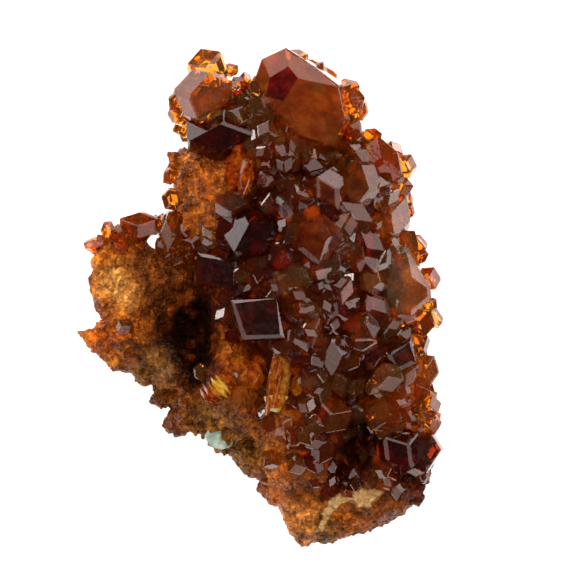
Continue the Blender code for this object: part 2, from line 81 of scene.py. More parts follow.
# Lumps: u, v and height of the centre, the three half-sizes, and the turn in degrees.
LUMPS = [
    (1.2, 17.3, 3.6, 7.4, 12.2, 5.6, 4), (1.6, 19.5, 6.0, 5.9, 8.6, 6.2, 0),
    (-0.8, 28.4, 5.6, 5.0, 4.6, 5.6, 0), (-5.2, 24.6, 5.6, 3.2, 4.2, 5.2, 8),
    (-5.3, 30.6, 6.0, 2.2, 3.0, 4.2, 0), (5.2, 25.6, 5.6, 2.7, 3.4, 4.6, 20),
    (6.9, 18.6, 5.4, 2.6, 4.2, 4.8, 0), (7.2, 12.2, 5.0, 2.7, 3.6, 4.6, 0),
    (6.3, 7.2, 4.8, 3.8, 3.0, 3.9, 10), (0.9, 8.8, 5.0, 3.9, 5.4, 5.1, 0),
    (-3.9, 11.2, 4.8, 3.0, 4.2, 4.8, 0), (0.75, 3.0, 4.4, 1.75, 3.2, 3.3, 16),
    (4.3, 4.2, 4.4, 4.6, 2.0, 3.0, 24), (-11.1, 18.4, 4.6, 3.4, 3.3, 2.4, 10),
    (-8.3, 18.6, 4.2, 2.6, 3.6, 2.2, 0), (-10.6, 14.2, 4.4, 3.6, 2.0, 2.0, -16),
    (-13.1, 14.4, 4.3, 2.15, 1.3, 1.6, -28), (-12.5, 21.1, 4.6, 1.6, 2.1, 1.9, -24),
    (-10.5, 22.5, 4.7, 1.9, 0.95, 1.7, 8), (-8.0, 13.0, 4.4, 2.8, 2.4, 2.9, -20),
    (-7.9, 8.8, 4.4, 1.3, 1.35, 1.7, 0), (-9.2, 10.4, 4.5, 0.9, 0.85, 1.2, 0),
    (-6.7, 10.3, 4.4, 1.8, 1.9, 2.7, 0), (-4.6, 7.9, 4.4, 2.1, 1.5, 2.6, -32),
    (-2.6, 6.0, 4.4, 2.0, 1.3, 2.6, -30), (-0.9, 4.3, 4.4, 1.6, 1.7, 2.8, 0),
    (-10.3, 11.9, 4.4, 0.9, 0.8, 1.2, 0), (-7.9, 26.5, 5.4, 1.0, 0.8, 2.2, 30),
    (5.2, 28.2, 5.8, 1.9, 1.2, 2.6, -30), (3.6, 30.4, 6.0, 1.5, 2.2, 2.8, 10),
    (0.9, 32.6, 6.4, 2.5, 2.1, 2.6, 0), (-2.6, 31.6, 6.2, 1.6, 1.7, 2.6, 0),
    (8.6, 17.4, 5.2, 1.5, 2.6, 2.2, 0), (9.1, 9.6, 4.8, 1.4, 2.4, 2.2, 0),
    (-7.6, 22.8, 5.4, 1.4, 1.8, 2.0, 0), (-6.6, 30.6, 5.8, 1.5, 2.2, 2.4, 0),
    (-7.0, 15.6, 2.9, 3.4, 4.6, 2.1, 14), (-8.7, 20.4, 4.4, 1.2, 1.3, 1.9, 0),
    (-12.0, 13.4, 4.3, 2.6, 1.2, 1.5, -24), (-7.4, 27.3, 5.6, 0.9, 1.0, 2.2, 20),
    (5.9, 3.2, 4.0, 4.5, 2.0, 3.0, 25), (3.4, 1.7, 3.8, 3.1, 1.5, 2.6, 13),
    (8.5, 5.3, 4.2, 2.1, 1.7, 2.6, 50), (-10.9, 21.3, 4.4, 1.3, 1.1, 1.7, 0),
    (-10.2, 16.0, 4.5, 1.9, 1.6, 1.8, 0), (-3.4, 23.4, 2.6, 4.4, 4.6, 3.4, 30),
    (4.6, 22.4, 2.4, 3.8, 5.4, 3.2, -16), (5.6, 10.0, 2.3, 3.4, 4.0, 3.0, 20),
    (-2.8, 10.2, 2.2, 3.2, 3.2, 3.0, -20), (-6.9, 21.3, 4.4, 1.1, 1.5, 1.9, 0),
    (-6.3, 8.7, 4.2, 1.1, 0.9, 1.7, 0),
]

# Hollows cut into the lumps: the deep one beside the flange, the lower one and a shallow one.
HOLLOWS = [
    (-6.9, 15.6, 9.6, 1.85, 3.5, 5.4, 14),
    (4.9, 7.4, 10.2, 1.35, 2.7, 5.4, -8),
    (-3.5, 9.2, 11.4, 1.6, 1.8, 2.6, 0),
]

# Patches of coarse grains: u, v, the half-sizes, the turn, how many are tried and their size.
GRAINS = [
    (-11.6, 18.2, 2.8, 3.6, 0, 17, 0.74),
    (-12.4, 14.2, 2.5, 1.2, -26, 7, 0.62),
    (-8.3, 12.2, 2.4, 1.3, -40, 6, 0.62),
    (-4.6, 7.6, 4.4, 1.3, -38, 12, 0.66),
    (0.6, 3.2, 1.6, 2.8, 16, 7, 0.62),
    (5.6, 3.4, 4.6, 1.7, 22, 12, 0.66),
    (-6.9, 25.0, 1.9, 3.4, 0, 10, 0.72),
]

# Outlines cut right through: the small opening in the flange, and all that lies below the base.
WINDOW = [(-9.95, 21.6), (-9.2, 21.65), (-9.05, 20.95), (-9.55, 20.95)]
UNDERSIDE = [(-40, -30), (40, -30), (40, 60), (-40, 60)]


def place(u, v, height):
    """A point of the lists, in metres, in the frame of the specimen."""
    return Vector(((u - MIDDLE_U) * MM, (v - MIDDLE_V) * MM, height * MM))


def on_ball(ball, out):
    """The point of a stretched and turned ball that is at out on a round one of radius 1."""
    u, v, height, half_u, half_v, half_h, turn = ball
    spin = Matrix.Rotation(math.radians(turn), 3, "Z")
    point = spin @ Vector((out.x * half_u, out.y * half_v, out.z * half_h))
    return place(u + point.x, v + point.y, height + point.z)


def dome(lump, u, v):
    """How far a lump reaches above and below its centre at the point u, v, or None beside it."""
    turn = math.radians(lump[6])
    du, dv = u - lump[0], v - lump[1]
    across = (du * math.cos(turn) + dv * math.sin(turn)) / lump[3]
    along = (dv * math.cos(turn) - du * math.sin(turn)) / lump[4]
    left = 1 - across * across - along * along
    return lump[5] * math.sqrt(left) if left > 0 else None


def matrix_top(u, v):
    """The height of the massive garnet over the point u, v, or None beside it."""
    tops = [lump[2] + rise * LUMP_SAG for lump in LUMPS if (rise := dome(lump, u, v)) is not None]
    if not tops:
        return None
    height = max(tops)
    for hollow in HOLLOWS:
        depth = dome(hollow, u, v)
        if depth is not None:
            height = min(height, hollow[2] - depth)
    return height


def close_hull(bm):
    """Turns a cloud of corners into the closed solid around them."""
    bmesh.ops.convex_hull(bm, input=bm.verts)
    loose = [vert for vert in bm.verts if not vert.link_faces]
    bmesh.ops.delete(bm, geom=loose, context="VERTS")
    bmesh.ops.remove_doubles(bm, verts=bm.verts, dist=SAME_POINT)
    flat = math.radians(FLAT_DEGREES)
    bmesh.ops.dissolve_limit(bm, angle_limit=flat, verts=bm.verts, edges=bm.edges)
    bmesh.ops.recalc_face_normals(bm, faces=bm.faces)


def object_from(name, bm, collection=None):
    """A new object with the mesh that was built, in the collection or else in the scene."""
    mesh = bpy.data.meshes.new(name)
    bm.to_mesh(mesh)
    bm.free()
    thing = bpy.data.objects.new(name, mesh)
    (collection or scene.collection).objects.link(thing)
    return thing


def make_lump(name, lump, collection, uneven):
    """One broken lump: the hull of corners spread over a stretched and turned ball."""
    half_u, half_v, half_h = lump[3:6]
    area = 4 * math.pi * ((half_u * half_v + half_v * half_h + half_h * half_u) / 3)
    corners = max(FEWEST_CORNERS, round(area / LUMP_SPACING**2))
    bm = bmesh.new()
    for number in range(corners):
        up = 1 - 2 * (number + 0.5) / corners
        wide = math.sqrt(1 - up * up)
        angle = number * GOLDEN_ANGLE
        out = Vector((wide * math.cos(angle), wide * math.sin(angle), up))
        out += Vector(rng.uniform(-uneven, uneven, 3))
        bm.verts.new(on_ball(lump, out))
    close_hull(bm)
    return object_from(name, bm, collection)


def spot_in(patch):
    """A random point u, v of an oval patch."""
    u, v, half_u, half_v, turn = patch[:5]
    turn = math.radians(turn)
    far = math.sqrt(rng.uniform(0, 1))
    angle = rng.uniform(0, 2 * math.pi)
    across = half_u * far * math.cos(angle)
    along = half_v * far * math.sin(angle)
    return (
        u + across * math.cos(turn) - along * math.sin(turn),
        v + across * math.sin(turn) + along * math.cos(turn),
    )


def make_prism(name, outline, low, high, collection):
    """An upright prism over an outline of u and v."""
    bm = bmesh.new()
    ring = [bm.verts.new(place(u, v, low)) for u, v in outline]
    bottom = bm.faces.new(ring)
    raised = bmesh.ops.extrude_face_region(bm, geom=[bottom])
    tops = [item for item in raised["geom"] if isinstance(item, bmesh.types.BMVert)]
    bmesh.ops.translate(bm, verts=tops, vec=Vector((0, 0, (high - low) * MM)))
    bmesh.ops.recalc_face_normals(bm, faces=bm.faces)
    return object_from(name, bm, collection)


def combine(body, name, collection, operation):
    """Joins the solids of a collection to a body, or cuts them out of it."""
    modifier = body.modifiers.new(name, "BOOLEAN")
    modifier.operand_type = "COLLECTION"
    modifier.collection = collection
    modifier.operation = operation
    modifier.solver = "EXACT"


def settle(body):
    """Makes the modifiers of a piece final."""
    graph = bpy.context.evaluated_depsgraph_get()
    mesh = bpy.data.meshes.new_from_object(body.evaluated_get(graph))
    body.modifiers.clear()
    body.data = mesh


def discard(collection):
    """Removes a collection of helpers and all that is in it."""
    for helper in list(collection.objects):
        bpy.data.objects.remove(helper)
    bpy.data.collections.remove(collection)


def helpers(name):
    """A collection of solids that are joined or cut and then removed."""
    collection = bpy.data.collections.new(name)
    scene.collection.children.link(collection)
    return collection


def coords_of(mesh):
    flat = np.empty(len(mesh.vertices) * 3, np.float32)
    mesh.vertices.foreach_get("co", flat)
    return flat.reshape(-1, 3).astype(np.float64)


lump_helpers = helpers("lump_helpers")
cut_helpers = helpers("cut_helpers")
matrix = make_lump("garnet_matrix", LUMPS[0], None, LUMP_UNEVEN)
for number, lump in enumerate(LUMPS[1:]):
    make_lump(f"lump_{number}", lump, lump_helpers, LUMP_UNEVEN)
for number, patch in enumerate(GRAINS):
    count, size = patch[5:]
    for index in range(count):
        u, v = spot_in(patch)
        halves = size * rng.uniform(*GRAIN_RANGE, 3)
        turn = rng.uniform(0, 180)
        ground = matrix_top(u, v)
        if ground is not None:
            grain = (u, v, ground - GRAIN_SUNK * size, *halves, turn)
            make_lump(f"coarse_{number}_{index}", grain, lump_helpers, GRAIN_UNEVEN)
for number, hollow in enumerate(HOLLOWS):
    make_lump(f"hollow_{number}", hollow, cut_helpers, LUMP_UNEVEN)
make_prism("underside", UNDERSIDE, FAR_BELOW, BASE_HEIGHT, cut_helpers)
make_prism("window", WINDOW, FAR_BELOW, FAR_ABOVE, cut_helpers)
combine(matrix, "lumps", lump_helpers, "UNION")
combine(matrix, "cuts", cut_helpers, "DIFFERENCE")
skin = matrix.modifiers.new("skin", "REMESH")
skin.mode = "VOXEL"
skin.voxel_size = SKIN_VOXEL * MM
settle(matrix)
discard(lump_helpers)
discard(cut_helpers)

# Colour zones of the massive garnet: u, v, the reach, and the colour. The near-black red in the hollows is
# painted shade; the amber at the thin rims and the bright spots under the right-hand crystal are painted
# glow.
GOLDEN = (0.84, 0.42, 0.10)
TAN = (0.64, 0.23, 0.028)
BROWN = (0.25, 0.07, 0.009)
TAWNY = (0.47, 0.135, 0.011)
# Painted glow: bright amber at the thin rims and under the right-hand crystal, standing in for light
# passing through.
AMBER_PAINTED_GLOW = (0.85, 0.27, 0.013)
# Painted shade: near-black red put in the hollows, where shade falls.
PAINTED_HOLLOW_SHADE = (0.014, 0.003, 0.001)
DARK_RED = (0.062, 0.009, 0.001)
OLIVE = (0.28, 0.13, 0.02)
CREAM = (0.82, 0.57, 0.24)
RUST = (0.48, 0.105, 0.007)
ZONES = [
    (-12.2, 18.8, 1.3, GOLDEN), (-11.4, 17.6, 0.9, GOLDEN), (-13.0, 20.8, 1.2, TAN),
    (-10.4, 19.6, 1.2, BROWN), (-13.2, 16.6, 1.0, TAWNY), (-14.2, 18.8, 0.7, AMBER_PAINTED_GLOW),
    (-14.0, 20.6, 0.7, AMBER_PAINTED_GLOW), (-14.8, 14.6, 0.9, AMBER_PAINTED_GLOW), (-13.0, 14.6, 1.0, RUST),
    (-12.4, 13.0, 0.9, TAN), (-10.8, 15.4, 1.2, TAWNY), (-11.2, 13.6, 0.9, BROWN),
    (-10.0, 17.2, 0.9, BROWN), (-7.4, 27.3, 0.6, TAN), (-8.2, 26.4, 0.5, AMBER_PAINTED_GLOW),
    (-6.0, 25.2, 0.8, RUST), (-5.4, 27.2, 0.8, RUST), (-7.6, 24.4, 0.8, BROWN),
    (-5.2, 22.6, 0.9, BROWN), (-9.4, 12.6, 1.6, OLIVE), (-7.2, 15.6, 1.9, PAINTED_HOLLOW_SHADE),
    (-6.6, 13.0, 1.2, PAINTED_HOLLOW_SHADE), (-7.2, 18.6, 1.4, BROWN), (-9.0, 16.6, 0.9, BROWN),
    (-8.6, 10.2, 1.8, BROWN), (-7.0, 8.0, 1.2, BROWN), (-5.8, 8.6, 1.8, OLIVE),
    (-3.4, 6.6, 1.6, OLIVE), (-3.2, 9.2, 1.5, BROWN), (-0.8, 7.8, 1.5, TAWNY),
    (-1.6, 4.6, 1.4, TAWNY), (0.6, 2.2, 1.2, TAN), (0.9, 4.6, 1.2, BROWN),
    (3.9, 2.3, 1.0, TAWNY), (6.6, 3.4, 1.8, BROWN), (2.4, 1.6, 0.8, OLIVE),
    (2.0, 4.6, 1.0, BROWN), (4.0, 5.0, 1.0, DARK_RED), (8.6, 5.4, 1.6, DARK_RED),
    (4.6, 7.4, 1.5, PAINTED_HOLLOW_SHADE), (7.0, 6.4, 1.8, DARK_RED), (8.8, 9.6, 1.8, RUST),
    # Under the right-hand crystal, about u 8.3 to 9.6 and v 16.8 to 19.2, the bright spots are painted glow
    # that shows through it.
    (9.2, 13.0, 1.5, RUST), (9.4, 18.0, 1.5, RUST), (8.3, 19.2, 0.6, GOLDEN),
    (7.0, 18.6, 0.7, DARK_RED), (8.7, 17.9, 0.5, BROWN), (8.5, 16.8, 0.5, AMBER_PAINTED_GLOW),
    (9.6, 19.0, 0.6, TAN), (7.6, 22.4, 1.6, RUST), (7.4, 26.6, 1.8, RUST),
    (5.4, 30.0, 2.0, RUST), (1.6, 33.6, 2.0, RUST), (-5.8, 33.0, 2.0, RUST),
    (-7.6, 29.6, 1.8, RUST), (-7.0, 26.4, 2.2, TAWNY), (-6.4, 23.6, 1.8, TAWNY),
    (-3.4, 26.6, 1.6, TAN), (0.6, 29.4, 2.0, RUST), (-2.6, 29.8, 2.0, DARK_RED),
    (0.4, 26.0, 2.4, DARK_RED), (4.4, 24.6, 2.2, DARK_RED), (1.4, 21.6, 2.6, DARK_RED),
    (5.4, 19.6, 2.2, DARK_RED), (-2.6, 21.6, 2.4, DARK_RED), (-4.8, 19.2, 1.6, DARK_RED),
    (-2.2, 16.6, 2.2, DARK_RED), (1.6, 17.0, 2.2, DARK_RED), (5.0, 14.6, 2.2, DARK_RED),
    (-4.0, 12.4, 1.4, RUST), (0.9, 13.2, 0.9, DARK_RED), (1.4, 11.2, 0.9, DARK_RED),
    (-1.9, 9.6, 0.7, DARK_RED), (-1.7, 14.0, 0.8, DARK_RED), (2.8, 10.4, 1.8, DARK_RED),
    (7.4, 13.4, 1.6, DARK_RED), (-4.5, 14.4, 0.9, TAWNY), (-4.6, 16.2, 0.8, BROWN),
    (1.6, 7.0, 1.4, DARK_RED), (-10.4, 22.6, 1.2, RUST),
]

# Where the massive garnet is bare and sugary: u, v, the half-sizes and the turn of an oval.
OPEN_PARTS = [
    (-11.6, 17.4, 4.2, 6.4, 0), (-6.7, 25.0, 2.5, 3.8, 0), (-8.2, 10.6, 3.6, 3.6, -30),
    (-7.2, 19.0, 2.6, 1.6, 0), (-3.6, 7.2, 4.6, 2.6, -35), (0.6, 3.2, 2.6, 4.0, 10),
    (5.6, 3.2, 5.2, 2.0, 22), (-4.6, 14.8, 1.1, 2.8, 0),
]

# It is also bare all round below this height, and wholly so this much lower.
BARE_BELOW = 7.0
BARE_FADE = 1.5

# The cream band across the broken lower end: u, v and half the width, along its middle.
CREAM_BAND = [
    (2.25, 1.2, 0.12), (2.6, 2.4, 0.24), (3.2, 3.3, 0.34), (4.2, 3.75, 0.42), (5.2, 3.45, 0.62),
    (6.0, 3.9, 0.42), (6.8, 4.35, 0.16),
]
BAND_EDGE = 0.12
BAND_RAGGED = 0.22
RAGGED_PER_MM = 2.6
OVAL_RIM = 1.15
OVAL_EDGE = 0.3
ZONE_SHARPNESS = 1.5
LEAST_SHARE = 1e-6

# Where it is nearly black, red spots of painted glow brighten it, standing in for light passing
# through: their width in mm, the noise they start at and its rise to their middle, the red at
# which there are none, and how much they brighten it.
PAINTED_GLOW_WIDTH = 1.1
PAINTED_GLOW_FROM = 0.1
PAINTED_GLOW_RISE = 0.26
PAINTED_GLOW_LEAST_DARK = 0.2
PAINTED_GLOW_GAIN = (6.5, 5.5, 1.0)

# How granular it is where it isn't bare, and how much less so in the cream band, which is told
# by blue over red in its colour: where that starts, and its rise to full cream.
LEAST_GRANULAR = 0.15
CREAM_SMOOTH = 0.7
CREAM_FROM = 0.2
CREAM_RISE = 0.08

# Its sugary grains of two sizes, by width and height, the level that stays where the skin was,
# how rough it is where it isn't bare, and how high above the floor it is wholly rough.
COARSE_GRAINS = (0.62, 0.30)
FINE_GRAINS = (0.3, 0.16)
GRAIN_LEVEL = 0.35
LEAST_ROUGH = 0.25
ROUGH_FROM = 0.8


def in_band(u, v, band):
    """1 inside a band that follows the given points, 0 outside it, with a ragged edge."""
    ragged = np.array([noise.noise(Vector((a, b, 0)) * RAGGED_PER_MM) for a, b in zip(u, v)])
    inside = np.zeros(len(u))
    for start, end in zip(band, band[1:]):
        du, dv = end[0] - start[0], end[1] - start[1]
        along = np.clip(((u - start[0]) * du + (v - start[1]) * dv) / (du * du + dv * dv), 0, 1)
        away = np.hypot(u - start[0] - along * du, v - start[1] - along * dv)
        wide = start[2] + along * (end[2] - start[2]) + BAND_RAGGED * ragged
        inside = np.maximum(inside, np.clip((wide - away) / BAND_EDGE + 0.5, 0, 1))
    return inside


def in_ovals(u, v, ovals):
    """1 inside any of the ovals, 0 outside them, with soft edges."""
    inside = np.zeros(len(u))
    for middle_u, middle_v, half_u, half_v, turn in ovals:
        turn = math.radians(turn)
        across = ((u - middle_u) * math.cos(turn) + (v - middle_v) * math.sin(turn)) / half_u
        along = ((v - middle_v) * math.cos(turn) - (u - middle_u) * math.sin(turn)) / half_v
        inside = np.maximum(inside, np.clip((OVAL_RIM - np.hypot(across, along)) / OVAL_EDGE, 0, 1))
    return inside


def u_v_of(points):
    """The u and v of points in metres."""
    return points[:, 0] / MM + MIDDLE_U, points[:, 1] / MM + MIDDLE_V


def bareness(points):
    """How bare and sugary the massive garnet is at points in metres, from 0 to 1."""
    high = in_ovals(*u_v_of(points), OPEN_PARTS)
    return np.maximum(high, np.clip((BARE_BELOW - points[:, 2] / MM) / BARE_FADE, 0, 1))


def zone_colours(points):
    """The colour of the massive garnet at points in metres, blended from its zones, with spots of painted
    glow.
    """
    u, v = u_v_of(points)
    mixed = np.zeros((len(points), 3))
    total = np.full(len(points), LEAST_SHARE)
    for zone_u, zone_v, reach, colour in ZONES:
        share = np.exp(-((u - zone_u) ** 2 + (v - zone_v) ** 2) / reach**2) ** ZONE_SHARPNESS
        mixed += share[:, None] * np.log(np.array(colour))
        total += share
    colours = np.exp(mixed / total[:, None])
    cream = in_band(u, v, CREAM_BAND)[:, None]
    colours = colours * (1 - cream) + np.array(CREAM) * cream
    # Painted glow: the nearly black zones are brightened in red spots.
    painted_glow = np.array([noise.noise(Vector(point) / (PAINTED_GLOW_WIDTH * MM)) for point in points])
    painted_glow = np.clip((painted_glow - PAINTED_GLOW_FROM) / PAINTED_GLOW_RISE, 0, 1)
    painted_glow = painted_glow * np.clip(1 - colours[:, 0] / PAINTED_GLOW_LEAST_DARK, 0, 1)
    return colours * (1 + painted_glow[:, None] * np.array(PAINTED_GLOW_GAIN))


def store_colours(mesh, colours):
    """Keeps a colour for each point of a mesh and, as its alpha, how granular it is there."""
    layer = mesh.color_attributes.new("zone", "FLOAT_COLOR", "POINT")
    rgba = np.ones((len(colours), 4), np.float32)
    rgba[:, :3] = colours
    creamy = np.clip((colours[:, 2] / colours[:, 0] - CREAM_FROM) / CREAM_RISE, 0, 1)
    granular = LEAST_GRANULAR + (1 - LEAST_GRANULAR) * bareness(coords_of(mesh))
    rgba[:, 3] = granular * (1 - CREAM_SMOOTH * creamy)
    layer.data.foreach_set("color", rgba.ravel())


def roughen(mesh):
    """Moves the skin in and out so that it breaks up into angular grains of two sizes."""
    points = coords_of(mesh)
    open_parts = LEAST_ROUGH + (1 - LEAST_ROUGH) * bareness(points)
    normals = np.empty(len(mesh.vertices) * 3, np.float32)
    mesh.vertices.foreach_get("normal", normals)
    normals = normals.reshape(-1, 3)
    push = np.zeros(len(points))
    for index, point in enumerate(points):
        at = Vector(point) / MM
        for width, height in (COARSE_GRAINS, FINE_GRAINS):
            near = noise.voronoi(at / width)[0]
            push[index] += height * (near[1] - near[0] - GRAIN_LEVEL)
    lift = np.clip(points[:, 2] / (ROUGH_FROM * MM), 0, 1)
    points += normals * (push * lift * open_parts * MM)[:, None]
    mesh.vertices.foreach_set("co", points.astype(np.float32).ravel())
    mesh.update()


store_colours(matrix.data, zone_colours(coords_of(matrix.data)))
roughen(matrix.data)

# Its finish: mottling, then grains, then fine noise, each by its scale per metre, with the shades
# that the colour is multiplied by, and how high the grains and the fine noise stand.
MOTTLE_SCALE = 1100.0
MOTTLE_SHADES = [(0.34, (0.24, 0.19, 0.15)), (0.5, (0.9, 0.85, 0.8)), (0.66, (2.0, 1.95, 1.6))]
GRAIN_SCALE = 3400.0
GRAIN_SHADES = [(0.1, (0.55, 0.48, 0.4)), (0.6, (1, 1, 1)), (0.9, (1.5, 1.55, 1.6))]
GRAIN_BUMP = 0.00022
FINE_SCALE = 5200.0
FINE_SHARE = 0.4

# In the open and in the shade: lowest and highest roughness, light let under the skin, and gloss.
# The first two hollows and all that is less than half bare are in the shade.
SUGARY = (0.12, 0.36, 0.12, 0.3)
SHADED = (0.6, 0.9, 0.0, 0.08)
DEEP_HOLLOWS = 2
WELL_INSIDE = 0.6
HALF_BARE = 0.5


def node_material(name):
    material = bpy.data.materials.new(name)
    material.use_nodes = True
    tree = material.node_tree
    return material, tree, tree.nodes["Principled BSDF"]


def set_inputs(node, values):
    """Gives inputs of a node their values, by name."""
    for name, value in values.items():
        node.inputs[name].default_value = value


def add_noise(tree, scale, detail, rough=0.55):
    """Noise laid out in the frame of the specimen, with a scale per metre."""
    coords = tree.nodes.new("ShaderNodeTexCoord")
    grain = tree.nodes.new("ShaderNodeTexNoise")
    set_inputs(grain, {"Scale": scale, "Detail": detail, "Roughness": rough})
    tree.links.new(coords.outputs["Object"], grain.inputs["Vector"])
    return grain


def add_ramp(tree, source, stops):
    """Turns a value into a colour, by stops of a value and a colour each."""
    ramp = tree.nodes.new("ShaderNodeValToRGB")
    ramp.color_ramp.elements[0].position = stops[0][0]
    ramp.color_ramp.elements[0].color = (*stops[0][1], 1)
    ramp.color_ramp.elements[1].position = stops[-1][0]
    ramp.color_ramp.elements[1].color = (*stops[-1][1], 1)
    for position, colour in stops[1:-1]:
        ramp.color_ramp.elements.new(position).color = (*colour, 1)
    tree.links.new(source, ramp.inputs["Fac"])
    return ramp


def add_bump(tree, shader, source, depth, strength):
    """Lets a value raise the surface, by a depth in metres."""
    bump = tree.nodes.new("ShaderNodeBump")
    set_inputs(bump, {"Distance": depth, "Strength": strength})
    tree.links.new(source, bump.inputs["Height"])
    tree.links.new(bump.outputs["Normal"], shader.inputs["Normal"])


def add_roughness(tree, shader, source, values):
    """Lets a value set the roughness, between the given ends."""
    rough = tree.nodes.new("ShaderNodeMapRange")
    set_inputs(rough, values)
    tree.links.new(source, rough.inputs["Value"])
    tree.links.new(rough.outputs["Result"], shader.inputs["Roughness"])


def massive_garnet(name, rough_low, rough_high, subsurface, gloss):
    """Granular garnet: the zone colour, with each sugary grain a little paler or darker."""
    material, tree, shader = node_material(name)
    link = tree.links.new
    zone = tree.nodes.new("ShaderNodeAttribute")
    zone.attribute_name = "zone"
    mottle = add_noise(tree, MOTTLE_SCALE, 6.0, 0.65)
    shade = add_ramp(tree, mottle.outputs["Fac"], MOTTLE_SHADES)
    coords = tree.nodes.new("ShaderNodeTexCoord")
    grains = tree.nodes.new("ShaderNodeTexVoronoi")
    grains.distance = "MANHATTAN"
    set_inputs(grains, {"Scale": GRAIN_SCALE})
    link(coords.outputs["Object"], grains.inputs["Vector"])
    each = add_ramp(tree, grains.outputs["Color"], GRAIN_SHADES)
    colour = zone.outputs["Color"]
    for layer in (shade, each):
        mix = tree.nodes.new("ShaderNodeMix")
        mix.data_type = "RGBA"
        mix.blend_type = "MULTIPLY"
        link(zone.outputs["Alpha"], mix.inputs["Factor"])
        link(colour, mix.inputs["A"])
        link(layer.outputs["Color"], mix.inputs["B"])
        colour = mix.outputs["Result"]
    link(colour, shader.inputs["Base Color"])
    fine = add_noise(tree, FINE_SCALE, 4.0)
    add_roughness(tree, shader, fine.outputs["Fac"], {"To Min": rough_low, "To Max": rough_high})
    height = tree.nodes.new("ShaderNodeMath")
    height.operation = "MULTIPLY_ADD"
    height.inputs[1].default_value = FINE_SHARE
    link(fine.outputs["Fac"], height.inputs[0])
    link(grains.outputs["Distance"], height.inputs[2])
    add_bump(tree, shader, height.outputs["Value"], GRAIN_BUMP, 0.9)
    set_inputs(shader, {
        "IOR": 1.5,
        "Specular IOR Level": gloss,
        "Subsurface Weight": subsurface,
        "Subsurface Radius": (1.0, 0.32, 0.08),
        "Subsurface Scale": 0.0007,
    })
    return material


matrix.data.materials.clear()
matrix.data.materials.append(massive_garnet("sugary_garnet", *SUGARY))
matrix.data.materials.append(massive_garnet("shaded_garnet", *SHADED))
middles = np.array([tuple(face.center) for face in matrix.data.polygons])
ovals = [(*hollow[:2], *hollow[3:5], hollow[6]) for hollow in HOLLOWS[:DEEP_HOLLOWS]]
deep = in_ovals(*u_v_of(middles), ovals) > WELL_INSIDE
shaded = ((bareness(middles) < HALF_BARE) | deep).astype(np.int32)
matrix.data.polygons.foreach_set("material_index", shaded)
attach(matrix, "root")
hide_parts("garnet")

# The crystals: garnet dodecahedra with narrow bevels along their edges, grown together over
# the upper side. Over the middle the garnet is thick and looks almost black-red; towards the
# rims it thins to red-brown, honey and amber. Those of one tone are joined into one clear solid.
CRYSTAL_UNEVEN = 0.07
BEVEL = 1.115
BEVEL_UNEVEN = 0.02
NEARLY_PARALLEL = 1e-4
CORNER_SLACK = 1e-6
STANDS_OUT = 0.45
COLUMN_STRETCH = 2.5

# Crystals: u, v and height of the centre, the distance to a face, where one face leans (degrees
# from +X), how far it leans, the turn of that face's long diagonal, and the stretch along it.
DARK = [
    (-0.4, 26.9, 12.2, 0.6, 95, 40, 5, 1), (0.38, 26.7, 12.6, 0.4, 10, 8, 90, 1),
    (-2.3, 24.4, 11.8, 0.52, 320, 30, 60, 1), (-3.95, 22.7, 11.4, 0.9, 322, 26, 57, 1.6),
    (3.95, 21.8, 12, 0.62, 20, 34, 105, 1.3), (1.1, 24, 12.6, 0.6, 80, 40, 10, 1),
    (5.5, 21.2, 11.1, 1.0, 60, 26, 140, 1.1), (4.6, 20.1, 11.7, 0.6, 350, 30, 86, 1.3),
    (3.7, 20.1, 12.2, 0.48, 170, 24, 90, 1.2), (3.9, 18.9, 12.1, 0.52, 250, 20, 10, 1.1),
    (3.1, 15.9, 11.8, 0.55, 300, 20, 80, 1), (-0.65, 20.4, 12.2, 0.82, 170, 24, 118, 1.1),
    (-0.35, 19.3, 12.5, 0.36, 50, 38, 20, 1), (-0.38, 18.2, 12.4, 0.34, 50, 38, 110, 1),
    (3.05, 17.7, 12.5, 0.34, 52, 38, 150, 1.3), (1.4, 19.3, 12.6, 0.36, 140, 20, 30, 1),
    (-0.3, 23.9, 12, 0.8, 260, 30, 85, 1.2), (-0.6, 22.5, 12.2, 0.5, 90, 30, 60, 1),
    (-2, 19.2, 11.9, 0.6, 200, 20, 80, 1), (0.6, 18, 12.4, 0.6, 290, 30, 140, 1.2),
    (1.9, 18.3, 12.5, 0.5, 30, 30, 60, 1), (2.6, 19, 12.4, 0.45, 100, 40, 60, 1),
    (2.4, 16.9, 12.2, 0.5, 40, 24, 110, 1), (1.2, 17.3, 12.4, 0.45, 150, 24, 0, 1),
    (-3.4, 18.3, 11, 0.6, 240, 24, 40, 1), (0.2, 16.3, 12, 0.55, 330, 24, 10, 1),
    (4.2, 17.4, 11.6, 0.6, 250, 30, 60, 1), (6.1, 13.5, 10, 0.68, 200, 20, 85, 1.1),
    (4.8, 13.7, 10.4, 0.66, 240, 24, 52, 1.2), (3.75, 14.4, 11, 0.66, 140, 30, 130, 1),
    (2, 13.5, 11.3, 0.75, 50, 37, 24, 1.25), (2.75, 13, 11, 0.52, 50, 37, 24, 1.3),
    (4.1, 12.3, 10.4, 0.56, 350, 34, 118, 1.3), (2.85, 5.9, 8.6, 0.45, 340, 24, 100, 1.2),
    (4, 14.9, 11.2, 0.5, 60, 30, 30, 1),
]
